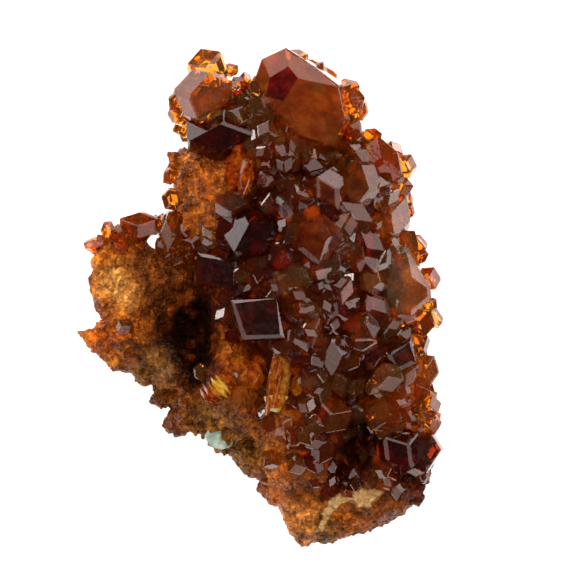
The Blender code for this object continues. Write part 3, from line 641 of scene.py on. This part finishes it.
RED = [
    (-3.6, 30.0, 11.4, 1.0, 48, 24, 350, 1), (-1.6, 29.1, 11.6, 0.7, 290, 40, 165, 1.2),
    (-1.8, 27.8, 11.9, 0.6, 200, 28, 40, 1), (-1.7, 25.8, 12.2, 0.64, 160, 26, 110, 1.1),
    (-0.65, 25.7, 12.4, 0.5, 250, 24, 0, 1.1), (-1.65, 26.9, 11.9, 0.38, 120, 20, 40, 1),
    (4.35, 23.2, 11.4, 1.0, 50, 30, 150, 1.3), (5.9, 16.7, 10.6, 1.15, 65, 22, 130, 1.1),
    (5, 15.5, 10.7, 1.05, 250, 20, 150, 1.1), (6.4, 16, 10, 0.6, 90, 30, 100, 1),
    (3.1, 9.2, 10, 1.12, 320, 22, 40, 1.1), (3.1, 11.7, 10.5, 1.0, 330, 24, 110, 1.15),
    (2.35, 7, 9.4, 0.82, 310, 26, 60, 1.1),
]
HONEY = [
    (-5.9, 31.7, 9.6, 1.62, 300, 8, 80, 1.1), (-3.55, 32.5, 9.3, 0.52, 240, 10, 40, 1),
    (-3.4, 31.3, 10.2, 0.5, 150, 30, 80, 1.1), (-1.9, 30.6, 10.4, 0.85, 250, 30, 150, 1.2),
    (-0.2, 29.8, 11.9, 0.5, 220, 34, 95, 1.3), (0.45, 28.2, 12.4, 0.55, 200, 30, 100, 1.35),
    (1.65, 28, 12.3, 0.6, 230, 36, 120, 1.2), (-0.7, 28.5, 11.9, 0.48, 240, 20, 10, 1),
    (-8.25, 24.5, 7, 0.72, 185, 34, 70, 1), (-8.1, 22.2, 7.2, 1.0, 195, 30, 86, 1.4),
    (6.4, 27.2, 9.2, 1.1, 24, 38, 124, 1.5), (6.3, 25.3, 9.9, 0.66, 95, 30, 165, 1.15),
    (3.9, 28.2, 11.2, 0.5, 120, 40, 10, 1.3), (4.55, 27.75, 10.8, 0.55, 80, 34, 150, 1.2),
    (6.4, 24.2, 9.6, 0.4, 0, 40, 88, 1.8), (5.9, 22.7, 10.6, 0.4, 70, 40, 15, 1.1),
    (9.15, 15.9, 6.9, 0.95, 340, 34, 80, 1), (7.85, 15, 9.2, 0.72, 50, 26, 118, 1.35),
    (6.9, 12, 9.5, 0.95, 280, 28, 20, 1.1), (8.9, 11.3, 7.8, 0.7, 60, 44, 130, 1.5),
    (1.1, 8, 10, 0.66, 240, 20, 130, 1.1), (-0.55, 8.1, 10, 0.55, 120, 20, 40, 1),
    (1.2, 10, 10.2, 0.6, 20, 30, 70, 1), (-1.3, 6.3, 8.9, 0.6, 200, 20, 50, 1),
    (0.6, 5.9, 8.9, 0.7, 260, 24, 20, 1), (8.5, 9.3, 8.3, 0.62, 60, 20, 80, 1),
    (6.5, 9.5, 8.3, 1.15, 190, 22, 60, 1.1), (7.6, 10.6, 8.7, 0.6, 90, 30, 60, 1),
    (7.3, 8.6, 8.6, 0.5, 220, 24, 60, 1), (-10.5, 22.7, 6.2, 0.8, 100, 34, 174, 1.75),
    (-9.1, 22.9, 6, 0.45, 140, 40, 55, 1.4), (-11.9, 22.2, 5.9, 0.55, 120, 30, 20, 1.1),
    (-11.6, 15.5, 6, 0.55, 260, 20, 40, 1), (-6.2, 12.3, 7.2, 0.5, 220, 30, 120, 1.3),
]
AMBER = [
    (-5.75, 33.6, 8.6, 1.28, 110, 38, 20, 1), (-7.75, 31.3, 8.2, 0.72, 170, 40, 60, 1),
    (-7.6, 29.5, 7.8, 0.5, 190, 40, 20, 1), (-4.2, 33.5, 8.6, 0.42, 90, 50, 10, 1.3),
    (-3.1, 32.9, 8.4, 0.42, 60, 40, 120, 1), (-2.3, 32.3, 8.6, 0.6, 80, 40, 20, 1),
    (0.5, 34.3, 8.3, 0.6, 80, 60, 160, 1.2), (1.95, 33.35, 8.2, 0.62, 70, 30, 60, 1),
    (4.2, 31.4, 8.6, 0.95, 20, 34, 100, 1.15), (4.3, 29.4, 8.6, 0.7, 340, 30, 60, 1),
    (-8.35, 26.2, 6.8, 0.5, 190, 40, 45, 1.3), (5.8, 28.9, 7.8, 0.5, 80, 40, 160, 1.3),
    (7.2, 27.8, 7.8, 0.66, 50, 40, 130, 1), (8.1, 26.8, 7.2, 0.72, 20, 34, 80, 1.05),
    (7.8, 25.3, 7.4, 0.68, 330, 34, 20, 1), (7.1, 23.1, 8, 1.2, 10, 34, 66, 1.35),
    (8.1, 21.4, 7.4, 0.82, 30, 34, 60, 1), (7.1, 21.6, 9.2, 0.52, 90, 20, 20, 1),
    (9.75, 18.9, 6.6, 0.78, 10, 30, 90, 1.05), (9.8, 17.1, 6.4, 0.52, 350, 34, 60, 1),
    (9.45, 12.5, 6.6, 0.92, 355, 34, 80, 1.2), (9.1, 13.8, 6.6, 0.5, 20, 30, 60, 1),
    (9.85, 10, 6.8, 0.72, 20, 34, 100, 1), (9.9, 8.7, 6.6, 0.6, 350, 30, 20, 1),
]
VEILED = [
    (1.85, 21.65, 11.9, 1.5, 230, 16, 105, 1.05), (4.75, 25.5, 10.8, 1.2, 250, 10, 80, 1.35),
    (2.75, 25, 12, 1.1, 230, 10, 120, 1.3), (5.65, 18.8, 11, 0.92, 60, 8, 70, 1),
    (1.5, 15.7, 12.1, 0.72, 90, 12, 30, 1),
]
ORANGE = [
    (-1.25, 11.8, 10.35, 0.24, 250, 8, 81, 10.0), (-0.8, 12.1, 10.6, 0.22, 70, 6, 81, 10.0),
    (-0.3, 12.3, 10.5, 0.22, 20, 12, 80, 9.5), (0.45, 11.0, 9.5, 0.42, 340, 14, 84, 3.0),
    (0.8, 10.9, 9.3, 0.36, 20, 18, 86, 3.0), (-2.7, 12.2, 9.8, 0.85, 250, 6, 20, 1.05),
    (-3.5, 12.9, 9.8, 0.6, 120, 16, 60, 1), (-2.1, 13.2, 10.4, 0.6, 60, 20, 30, 1),
    (-3.6, 27.0, 10.5, 0.48, 200, 12, 88, 2.8), (-3.1, 26.0, 10.7, 0.46, 260, 16, 82, 2.8),
    (-4.1, 26.0, 10.2, 0.44, 180, 18, 92, 3.2),
]
GOLDEN_ENDS = [
    (-1.25, 10.15, 10.3, 0.34, 250, 22, 80, 1.1), (-0.65, 10.2, 10.35, 0.36, 250, 30, 80, 1.1),
    (-3.6, 28.2, 10.3, 0.36, 250, 12, 60, 1.2),
]

# The ribbed crystal: thin slices side by side, every other one larger, and golden in the middle,
# where the paler golden garnet is a painted highlight.
RIBS = 7
RIB_SPACING = 0.36
RIB_MIDDLE = (-4.95, 11.3, 9.85)
RIB_WAY = (0.777, 0.629)
RIB_REACHES = (0.62, 0.06)
PAINTED_HIGHLIGHT_RIBS = (3, 4)
for step in range(RIBS):
    along = RIB_SPACING * (step - RIBS // 2)
    rib_u = RIB_MIDDLE[0] + RIB_WAY[0] * along
    rib_v = RIB_MIDDLE[1] + RIB_WAY[1] * along
    reach = RIB_REACHES[0] + RIB_REACHES[1] * (step % 2)
    rib = (rib_u, rib_v, RIB_MIDDLE[2], reach, 320, 8, 39, 0.36)
    (GOLDEN_ENDS if step in PAINTED_HIGHLIGHT_RIBS else ORANGE).append(rib)
BLACKEST = [
    (-2.5, 22, 10.4, 1.7, 300, 10, 30, 1.1),
    (7.5, 6.9, 7.6, 1.4, 300, 7, 130, 1.1),
    (-4.8, 29, 9.6, 1.55, 275, 11, 4, 1.55),
]
CRYSTALS = {
    "black_red": BLACKEST, "dark": DARK, "red_brown": RED, "honey": HONEY, "amber": AMBER,
    "veiled": VEILED, "orange": ORANGE, "golden": GOLDEN_ENDS,
}

# The largest crystal stands at the top, unevenly grown, so its corners are given one by one.
LARGEST = [
    (0.55, 32.75, 13.455), (3.3, 32.2, 12.74), (3.8, 30.0, 12.19), (3.0, 28.1, 11.986), (0.6, 28.9, 12.674),
    (-0.45, 31.2, 13.365), (-0.12, 33.6, 13.386), (-1.4, 32.8, 13.265), (-1.7, 31.5, 13.242),
    (-0.38, 34.8, 13.063), (1.55, 33.55, 12.855), (-1.95, 34.1, 12.853), (-2.4, 32.8, 12.753),
    (-0.30, 34.89, 12.955), (1.63, 33.64, 12.747), (3.38, 32.29, 12.63),
    (-2.2, 34.1, 9.0), (-0.2, 35.0, 9.0), (1.8, 33.9, 9.0), (3.7, 32.6, 9.0), (4.2, 30.0, 9.0),
    (3.2, 27.8, 9.4), (0.4, 28.5, 9.4), (-1.9, 31.1, 9.2), (-2.65, 32.8, 9.0),
]

# The large crystal at the right-hand rim is given in the same way.
RIGHT_HAND = [
    (8.5, 19.0, 10.6), (7.6, 17.4, 10.43), (9.5, 18.3, 10.12), (9.6, 17.7, 9.93), (8.4, 16.7, 10.01),
    (8.2, 20.4, 10.64), (7.0, 19.9, 10.495), (6.7, 18.6, 10.40), (6.8, 17.6, 10.36),
    (8.45, 20.5, 10.3), (9.78, 18.35, 9.75), (9.85, 17.6, 9.55), (8.45, 16.35, 9.6), (7.3, 16.6, 9.9),
    (6.5, 17.4, 9.9), (6.35, 18.7, 9.9), (6.8, 20.2, 10.0), (8.1, 20.8, 10.0),
    (8.6, 20.7, 7.0), (10.0, 18.4, 7.0), (10.0, 17.4, 7.0), (8.5, 16.1, 7.0), (6.5, 16.8, 7.0),
    (6.2, 18.6, 7.0), (6.7, 20.4, 7.0),
]

# The orange column and its golden end, which stand clear of the massive garnet.
COLUMN = [
    (-1.75, 10.1, 8.0), (-1.65, 10.0, 9.9), (-1.2, 9.9, 10.35), (-0.6, 9.95, 10.4), (-0.25, 10.2, 9.9),
    (-0.2, 10.3, 8.0), (-1.15, 13.6, 8.6), (-1.1, 13.65, 10.3), (-0.65, 13.8, 10.75), (-0.05, 13.85, 10.75),
    (0.28, 13.6, 10.2), (0.3, 13.55, 8.6),
]
COLUMN_END = [
    (-1.82, 10.7, 8.0), (-1.82, 10.7, 10.0), (-1.35, 10.8, 10.55), (-0.6, 10.85, 10.6), (-0.12, 10.7, 10.0),
    (-0.12, 10.7, 8.0), (-1.65, 9.85, 8.0), (-1.6, 9.75, 9.4), (-0.95, 9.6, 9.9), (-0.45, 9.75, 9.8),
    (-0.3, 9.9, 8.0),
]

# Oval patches of small crystals that cover the rest: tone, u, v, the half-sizes, the turn, how
# many are tried, and their least and largest reach.
COVERED = [
    ("red_brown", 1.6, 20.0, 5.2, 6.8, 0, 30, 0.6, 1.0),
    ("dark", 0.8, 20.0, 5.8, 7.4, 0, 90, 0.55, 1.0),
    ("dark", 0.8, 20.0, 5.8, 7.4, 0, 160, 0.32, 0.55),
    ("dark", -3.0, 19.6, 2.2, 5.2, 0, 60, 0.4, 0.9),
    ("red_brown", 1.4, 26.6, 5.6, 3.2, 0, 50, 0.45, 0.8),
    ("red_brown", 1.4, 26.6, 5.6, 3.2, 0, 70, 0.3, 0.5),
    ("honey", 0.4, 27.6, 4.6, 2.2, 0, 30, 0.3, 0.5),
    ("red_brown", -2.0, 30.0, 2.8, 2.8, 0, 50, 0.32, 0.6),
    ("honey", -6.0, 31.0, 2.2, 3.2, 0, 40, 0.34, 0.6),
    ("honey", 6.4, 24.6, 2.4, 5.4, 14, 90, 0.34, 0.7),
    ("amber", 7.4, 25.0, 1.7, 5.0, 14, 26, 0.36, 0.6),
    ("amber", 3.6, 31.6, 1.6, 2.2, 20, 14, 0.34, 0.6),
    ("honey", 7.8, 16.6, 2.4, 5.4, 0, 90, 0.34, 0.75),
    ("amber", 8.8, 12.6, 1.4, 5.0, 0, 22, 0.36, 0.6),
    ("honey", 8.0, 9.4, 2.4, 3.0, 0, 50, 0.3, 0.55),
    ("red_brown", 5.6, 12.8, 2.8, 3.4, 0, 70, 0.34, 0.8),
    ("red_brown", 1.6, 10.8, 3.6, 3.8, 0, 90, 0.32, 0.7),
    ("dark", 3.6, 7.2, 2.8, 3.4, 0, 60, 0.32, 0.6),
    ("red_brown", 7.6, 6.0, 2.8, 2.0, 20, 44, 0.32, 0.6),
    ("honey", -11.8, 22.0, 2.4, 0.8, 20, 10, 0.34, 0.55),
    ("red_brown", -7.8, 21.6, 1.4, 1.6, 0, 20, 0.34, 0.6),
    ("honey", -6.0, 21.4, 1.6, 1.0, 0, 14, 0.34, 0.6),
    ("honey", -2.6, 12.6, 1.4, 1.2, 0, 10, 0.34, 0.5),
]

# How they rise, lean and stretch. They lean outwards from a middle, give or take a swing.
COVER_RISE = 0.3
COVER_LEANS = (2, 44)
COVER_STRETCHES = (1.0, 1.6)
COVER_SWING = 80
LEAN_FROM = (0.8, 17.0)

# They keep clear of one another by this share of the reach of both, and of large ones by more.
CLOSEST = 0.5
LARGE_FROM = 1.05
LARGE_SHARE = 0.85

# They also keep clear of the crystals with corners of their own: u, v and reach.
KEEP_CLEAR = [
    (1.2, 31.3, 3.0), (8.2, 18.5, 2.2), (-5.05, 19.4, 1.5), (-2.2, 16.1, 1.75), (7.8, 13.5, 1.2),
    (9.5, 6.8, 1.2), (-1.3, 10.2, 0.8), (-1.1, 11.0, 0.8), (-0.8, 12.8, 0.8), (-0.4, 13.4, 0.8),
    (0.5, 10.4, 0.8), (0.5, 12.4, 0.8),
]


def face_directions():
    """The 12 rhombic faces of a garnet crystal and the 24 narrow ones on its edges."""
    rhombs = []
    edges = []
    for way in product((-1, 0, 1), repeat=3):
        if way.count(0) == 1:
            rhombs.append(Vector(way).normalized())
        if way.count(0) == 0:
            for axis in range(3):
                edge = Vector(way)
                edge[axis] *= 2
                edges.append(edge.normalized())
    return rhombs, edges


def crystal_corners():
    """The corners of a crystal whose rhombic faces lie about 1 from its centre."""
    rhombs, edges = face_directions()
    normals = np.array(rhombs + edges)
    reach = np.ones(len(normals))
    reach[: len(rhombs)] += CRYSTAL_UNEVEN * rng.uniform(-1, 1, len(rhombs))
    reach[len(rhombs) :] = BEVEL * (1 + BEVEL_UNEVEN * rng.uniform(-1, 1, len(edges)))
    first, second, third = np.array(list(combinations(range(len(normals)), 3))).T
    systems = np.stack([normals[first], normals[second], normals[third]], axis=1)
    sides = np.stack([reach[first], reach[second], reach[third]], axis=1)
    solvable = np.abs(np.linalg.det(systems)) > NEARLY_PARALLEL
    points = np.linalg.solve(systems[solvable], sides[solvable][..., None])[..., 0]
    inside = (points @ normals.T <= reach + CORNER_SLACK).all(axis=1)
    return np.unique(np.round(points[inside], 5), axis=0)


def store_depth(bm, depth):
    """Keeps on each face how far one looks into it: the larger, the deeper its colour."""
    layer = bm.faces.layers.float.new("depth")
    for face in bm.faces:
        face[layer] = depth


# The depth of some crystals, by the u and v of their centres. The others differ round a middle.
OWN_DEPTHS = {
    (1.85, 21.65): 1.6, (4.75, 25.5): 1.25, (2.75, 25): 1.5, (5.65, 18.8): 1.05, (1.5, 15.7): 1.4,
    (-5.9, 31.7): 0.8, (-5.75, 33.6): 0.8,
}
MIDDLE_DEPTH = 1.3
DEPTH_SPREAD = 0.6
DEPTH_CELLS = (3.1, 2.7)

# The depth of crystals with their own corners, and the faces of some that are given a deeper colour
# as painted shade: u, v, reach and depth.
PLAIN_DEPTH = 1.0
RIGHT_HAND_DEPTH = 0.55
PAINTED_SHADE_FACES = [(-0.7, 32.4, 0.6, 3.2), (-5.05, 19.4, 0.6, 2.4), (-2.2, 16.1, 0.7, 1.7)]
FACES_UP = 0.5


def own_depth(u, v):
    """How deep the colour of the crystal at u, v is."""
    cell = noise.cell(Vector((DEPTH_CELLS[0] * u, DEPTH_CELLS[1] * v, 0.5)))
    return OWN_DEPTHS.get((u, v), MIDDLE_DEPTH + DEPTH_SPREAD * cell)


def direction(around, from_top):
    """The way that lies at two angles in degrees: around from +X, and from straight up."""
    around, from_top = math.radians(around), math.radians(from_top)
    level = math.sin(from_top)
    return Vector((level * math.cos(around), level * math.sin(around), math.cos(from_top)))


def make_crystal(name, crystal, collection):
    """One crystal: the hull of its corners, with a chosen face turned towards the viewer."""
    u, v, height, reach, lean_to, lean, spin, stretch = crystal
    ground = matrix_top(u, v)
    if ground is not None and stretch < COLUMN_STRETCH:
        height = min(height, ground + STANDS_OUT * reach)
    facing = direction(lean_to, lean)
    along = Vector((math.cos(math.radians(spin)), math.sin(math.radians(spin)), 0))
    along = (along - facing * along.dot(facing)).normalized()
    across = facing.cross(along)
    bm = bmesh.new()
    for corner in crystal_corners():
        out = (corner[0] + corner[1]) / math.sqrt(2)
        side = (corner[0] - corner[1]) / math.sqrt(2)
        point = (facing * out + along * (side * stretch) + across * corner[2]) * reach
        bm.verts.new(place(u + point.x, v + point.y, height + point.z))
    close_hull(bm)
    store_depth(bm, own_depth(u, v))
    return object_from(name, bm, collection)


def make_from_corners(name, corners, collection):
    """One crystal from its own list of corners. An upward face at a place of painted shade gets the depth
    of it.
    """
    bm = bmesh.new()
    for u, v, height in corners:
        bm.verts.new(place(u, v, height))
    close_hull(bm)
    store_depth(bm, RIGHT_HAND_DEPTH if corners is RIGHT_HAND else PLAIN_DEPTH)
    depth = bm.faces.layers.float["depth"]
    for u, v, reach, value in PAINTED_SHADE_FACES:
        for face in bm.faces:
            away = (face.calc_center_median() - place(u, v, 0)).xy.length
            if away < reach * MM and face.normal.z > FACES_UP:
                face[depth] = value
    return object_from(name, bm, collection)


def is_free(u, v, reach, taken):
    """Whether a small crystal has room at u, v among the spots that are taken."""
    for other_u, other_v, other_reach in taken:
        share = LARGE_SHARE if other_reach > LARGE_FROM else CLOSEST
        if math.hypot(u - other_u, v - other_v) < CLOSEST * reach + share * other_reach:
            return False
    return True


def cover(patch, taken):
    """Small crystals over an oval patch, none too near another one."""
    tone, count, reaches = patch[0], patch[6], patch[7:]
    for _ in range(count):
        u, v = spot_in(patch[1:6])
        reach = rng.uniform(*reaches)
        outwards = math.degrees(math.atan2(v - LEAN_FROM[1], u - LEAN_FROM[0]))
        lean_to = outwards + rng.uniform(-COVER_SWING, COVER_SWING)
        lean = rng.uniform(*COVER_LEANS)
        spin = rng.uniform(0, 180)
        stretch = rng.uniform(*COVER_STRETCHES)
        ground = matrix_top(u, v)
        if ground is not None and is_free(u, v, reach, taken):
            height = ground + COVER_RISE * reach
            CRYSTALS[tone].append((u, v, height, reach, lean_to, lean, spin, stretch))
            taken.append((u, v, reach))


# Dark crystals that show one face head-on inside a frame of bevels: the height of the face and
# its corners. Each ring of corners below it stands out by some frame widths and lies deeper.
FRAMED = [
    (10.1, [(-6.15, 20.45), (-3.95, 20.05), (-3.95, 18.4), (-6.2, 18.8)]),
    (12.2, [(-3.8, 17.2), (-1.2, 17.25), (-0.7, 15.05), (-3.05, 15.0)]),
    (9.9, [(8.3, 14.45), (8.45, 13.2), (7.5, 12.7), (7.1, 13.6)]),
    (7.9, [(9.8, 7.6), (10.2, 6.9), (9.5, 5.7), (8.7, 6.4), (9.0, 7.5)]),
]
FRAME_WIDTH = 0.3
FRAME_CORNER = 1.3
FRAME_RINGS = ((0, 0.0), (1, 0.5 * FRAME_WIDTH), (1.6, 1.4), (1.2, 3.6))


def framed_corners(height, outline):
    """The corners of such a crystal: the face, the bevels round it and its sides."""
    middle = np.mean(outline, axis=0)
    corners = []
    for steps, drop in FRAME_RINGS:
        for corner in outline:
            way = np.array(corner) - middle
            at = middle + way * (1 + steps * FRAME_WIDTH * FRAME_CORNER / np.hypot(*way))
            corners.append((at[0], at[1], height - drop))
    return corners


# The crystals with corners of their own, by the group that each is grown together with.
UNEVEN_CRYSTALS = {
    "veiled_crystals": [LARGEST],
    "honey_crystals": [RIGHT_HAND],
    "orange_crystals": [COLUMN],
    "golden_crystals": [COLUMN_END],
    "black_red_crystals": [framed_corners(*face) for face in FRAMED],
}


def make_crystals(name, crystals):
    """A group of crystals grown together, as one closed solid."""
    group = helpers(name + "_helpers")
    body = make_crystal(name, crystals[0], None)
    for number, corners in enumerate(UNEVEN_CRYSTALS.get(name, [])):
        make_from_corners(f"{name}_uneven_{number}", corners, group)
    for number, crystal in enumerate(crystals[1:]):
        make_crystal(f"{name}_{number}", crystal, group)
    combine(body, "grown_together", group, "UNION")
    settle(body)
    discard(group)
    return body


# The finish of clear garnet: how it bends light, where noise turns from its deep to its pale
# colour, and the faint growth steps on its faces: their scale, and noise turned to roughness.
GARNET_IOR = 1.74
VEIL_EDGES = (0.38, 0.62)
STEP_SCALE = 2600.0
STEP_ROUGHNESS = {"From Min": 0.4, "From Max": 0.75, "To Min": 0.03, "To Max": 0.12}


def clear_garnet(name, lets_through, density, cloudy, deep, pale, veil_scale=900.0):
    """See-through garnet: light is absorbed along its way through, blue most and red least."""
    material, tree, shader = node_material(name)
    link = tree.links.new
    set_inputs(shader, {"Transmission Weight": 1.0 - cloudy, "IOR": GARNET_IOR})
    veil = add_noise(tree, veil_scale, 4.0)
    tint = add_ramp(tree, veil.outputs["Fac"], list(zip(VEIL_EDGES, (deep, pale))))
    # The depth deepens the colour; on a few upward faces it is painted shade.
    depth = tree.nodes.new("ShaderNodeAttribute")
    depth.attribute_name = "depth"
    deeper = tree.nodes.new("ShaderNodeGamma")
    link(tint.outputs["Color"], deeper.inputs["Color"])
    link(depth.outputs["Fac"], deeper.inputs["Gamma"])
    link(deeper.outputs["Color"], shader.inputs["Base Color"])
    steps = add_noise(tree, STEP_SCALE, 3.0)
    add_roughness(tree, shader, steps.outputs["Fac"], STEP_ROUGHNESS)
    add_bump(tree, shader, veil.outputs["Fac"], 0.0001, 0.1)
    inside = tree.nodes.new("ShaderNodeVolumeAbsorption")
    set_inputs(inside, {"Color": (*lets_through, 1), "Density": density})
    link(inside.outputs["Volume"], tree.nodes["Material Output"].inputs["Volume"])
    return material


taken = [(crystal[0], crystal[1], crystal[3]) for group in CRYSTALS.values() for crystal in group]
taken += KEEP_CLEAR
for patch in COVERED:
    cover(patch, taken)

# How each tone takes in light: the colour that it lets through, how dense it is, how cloudy,
# the colours of its darker and paler veils, and their scale per metre if they are finer.
TONES = {
    "black_red": ((0.86, 0.48, 0.05), 1000.0, 0.02, (0.50, 0.14, 0.03), (0.64, 0.20, 0.05)),
    "dark": ((0.95, 0.42, 0.02), 500.0, 0.03, (0.74, 0.18, 0.03), (0.90, 0.30, 0.06)),
    "red_brown": ((0.96, 0.56, 0.03), 450.0, 0.05, (0.80, 0.25, 0.03), (0.95, 0.42, 0.08)),
    "honey": ((0.97, 0.70, 0.05), 400.0, 0.05, (0.86, 0.34, 0.03), (0.97, 0.56, 0.12)),
    "amber": ((0.97, 0.72, 0.05), 460.0, 0.05, (0.86, 0.40, 0.04), (0.98, 0.60, 0.15)),
    "veiled": ((0.96, 0.55, 0.03), 280.0, 0.16, (0.46, 0.10, 0.01), (0.72, 0.25, 0.03), 1100.0),
    "orange": ((0.98, 0.66, 0.04), 280.0, 0.36, (0.50, 0.09, 0.004), (0.96, 0.38, 0.02), 2400.0),
    "golden": ((0.98, 0.80, 0.08), 160.0, 0.60, (1.0, 0.56, 0.03), (1.0, 0.90, 0.26), 2400.0),
}
for tone, crystals in CRYSTALS.items():
    body = make_crystals(f"{tone}_crystals", crystals)
    body.data.materials.clear()
    body.data.materials.append(clear_garnet(f"{tone}_garnet", *TONES[tone]))
    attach(body, "root")

# The green grain: a small rounded grain of pale green diopside, set in the massive garnet.
# It is a ball pushed in and out by noise, and it sits in its hollow in the lower left part.
GREEN_GRAIN = (-5.0, 7.75, 6.75, 0.95, 0.8, 0.62, -32)
GREEN_UNEVEN = 0.22
GREEN_DENTS = 1.7
GREEN_ROUNDS = 5
CLOUD_SCALE = 1500.0
CLOUD_SHADES = [(0.35, (0.22, 0.36, 0.27)), (0.6, (0.50, 0.66, 0.55)), (0.75, (0.8, 0.85, 0.78))]


def make_grain(name, grain):
    """A ball with soft dents, stretched and turned."""
    bm = bmesh.new()
    bmesh.ops.create_icosphere(bm, subdivisions=GREEN_ROUNDS, radius=1.0)
    for vert in bm.verts:
        dent = noise.noise(vert.co * GREEN_DENTS + Vector(grain[:3]))
        vert.co = on_ball(grain, vert.co * (1 + GREEN_UNEVEN * dent))
    for face in bm.faces:
        face.smooth = True
    return object_from(name, bm)


green = make_grain("green_grain_surface", GREEN_GRAIN)
material, tree, shader = node_material("pale_green_diopside")
clouds = add_noise(tree, CLOUD_SCALE, 5.0)
tint = add_ramp(tree, clouds.outputs["Fac"], CLOUD_SHADES)
tree.links.new(tint.outputs["Color"], shader.inputs["Base Color"])
set_inputs(shader, {
    "Roughness": 0.22,
    "Subsurface Weight": 0.4,
    "Subsurface Radius": (0.6, 0.8, 0.6),
    "Subsurface Scale": 0.0005,
})
add_bump(tree, shader, clouds.outputs["Fac"], 0.0002, 0.5)
green.data.materials.append(material)
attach(green, "root")
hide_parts("green_grain")

# The floor: a plain pale table that shines evenly the way a light table does, so that light
# passes through the thin rims of the specimen. It lies a hair below the stone.
FLOOR_SIZE = 1.5
FLOOR_HEIGHT = -0.00005
FLOOR_SHINE = 0.75
bm = bmesh.new()
bmesh.ops.create_grid(bm, x_segments=1, y_segments=1, size=FLOOR_SIZE)
floor = object_from("floor", bm)
floor.location.z = FLOOR_HEIGHT
material, tree, shader = node_material("pale_floor")
set_inputs(shader, {
    "Base Color": (0.9, 0.9, 0.9, 1),
    "Roughness": 0.6,
    "Specular IOR Level": 0.2,
    "Emission Color": (1, 1, 1, 1),
    "Emission Strength": FLOOR_SHINE,
})
floor.data.materials.append(material)

# The light: a dim room and soft panels round the viewer. The broad ones are warm, and the small
# ones low down are whiter. One more hangs overhead, and no face of the stone mirrors that one.
# Each panel: degrees from +X, degrees from straight up, width and height in metres, radiance.
WARM_PANELS = [
    (135, 48, 0.18, 0.17, 1.65),
    (45, 48, 0.155, 0.155, 1.85),
    (280, 50, 0.18, 0.14, 1.35),
    (200, 56, 0.12, 0.14, 1.1),
    (345, 54, 0.12, 0.14, 1.3),
    (240, 64, 0.12, 0.08, 2.6),
    (315, 64, 0.10, 0.08, 2.6),
]
WHITE_PANELS = [
    (48, 76, 0.16, 0.07, 9.0),
    (150, 74, 0.12, 0.06, 8.0),
    (88, 63, 0.10, 0.08, 3.2),
    (15, 64, 0.08, 0.09, 3.2),
]
OVERHEAD = (100, 8, 0.24, 0.24, 2.9)
WARM = (1.0, 0.78, 0.73)
WHITER = (1.0, 0.88, 0.86)
OVERHEAD_COLOUR = (1.0, 0.92, 0.86)
PANEL_DISTANCE = 0.30
ROOM_LIGHT = 0.03
world = bpy.data.worlds.new("pale_room")
world.use_nodes = True
room = world.node_tree.nodes["Background"]
set_inputs(room, {"Color": (1, 1, 1, 1), "Strength": ROOM_LIGHT})
scene.world = world


def add_panel(name, panel, colour):
    """A soft panel that shines on the specimen, unseen by the camera."""
    around, from_top, width, height, radiance = panel
    lamp = bpy.data.lights.new(name, "AREA")
    lamp.shape = "RECTANGLE"
    lamp.size = width
    lamp.size_y = height
    lamp.energy = radiance * math.pi * width * height
    lamp.color = colour
    thing = bpy.data.objects.new(name, lamp)
    way = direction(around, from_top)
    thing.location = way * PANEL_DISTANCE
    thing.rotation_euler = way.to_track_quat("Z", "Y").to_euler()
    thing.visible_camera = False
    scene.collection.objects.link(thing)
    return thing


for number, panel in enumerate(WARM_PANELS):
    add_panel(f"warm_panel_{number}", panel, WARM)
for number, panel in enumerate(WHITE_PANELS):
    add_panel(f"white_panel_{number}", panel, WHITER)
overhead = add_panel("overhead", OVERHEAD, OVERHEAD_COLOUR)
overhead.visible_glossy = False

# The camera looks straight down on the crystal face, through a long lens.
PHOTO_MIDDLE = (-0.175, 18.305)
PHOTO_WIDTH = 40.25 * MM
CAMERA_HEIGHT = 0.42
AIM_HEIGHT = 0.008
camera = bpy.data.cameras.new("camera")
camera.sensor_width = 36.0
camera.lens = camera.sensor_width * (CAMERA_HEIGHT - AIM_HEIGHT) / PHOTO_WIDTH
camera.clip_start = 0.01
viewer = bpy.data.objects.new("camera", camera)
viewer.location = place(*PHOTO_MIDDLE, CAMERA_HEIGHT / MM)
scene.collection.objects.link(viewer)
scene.camera = viewer
scene.view_settings.view_transform = "Standard"
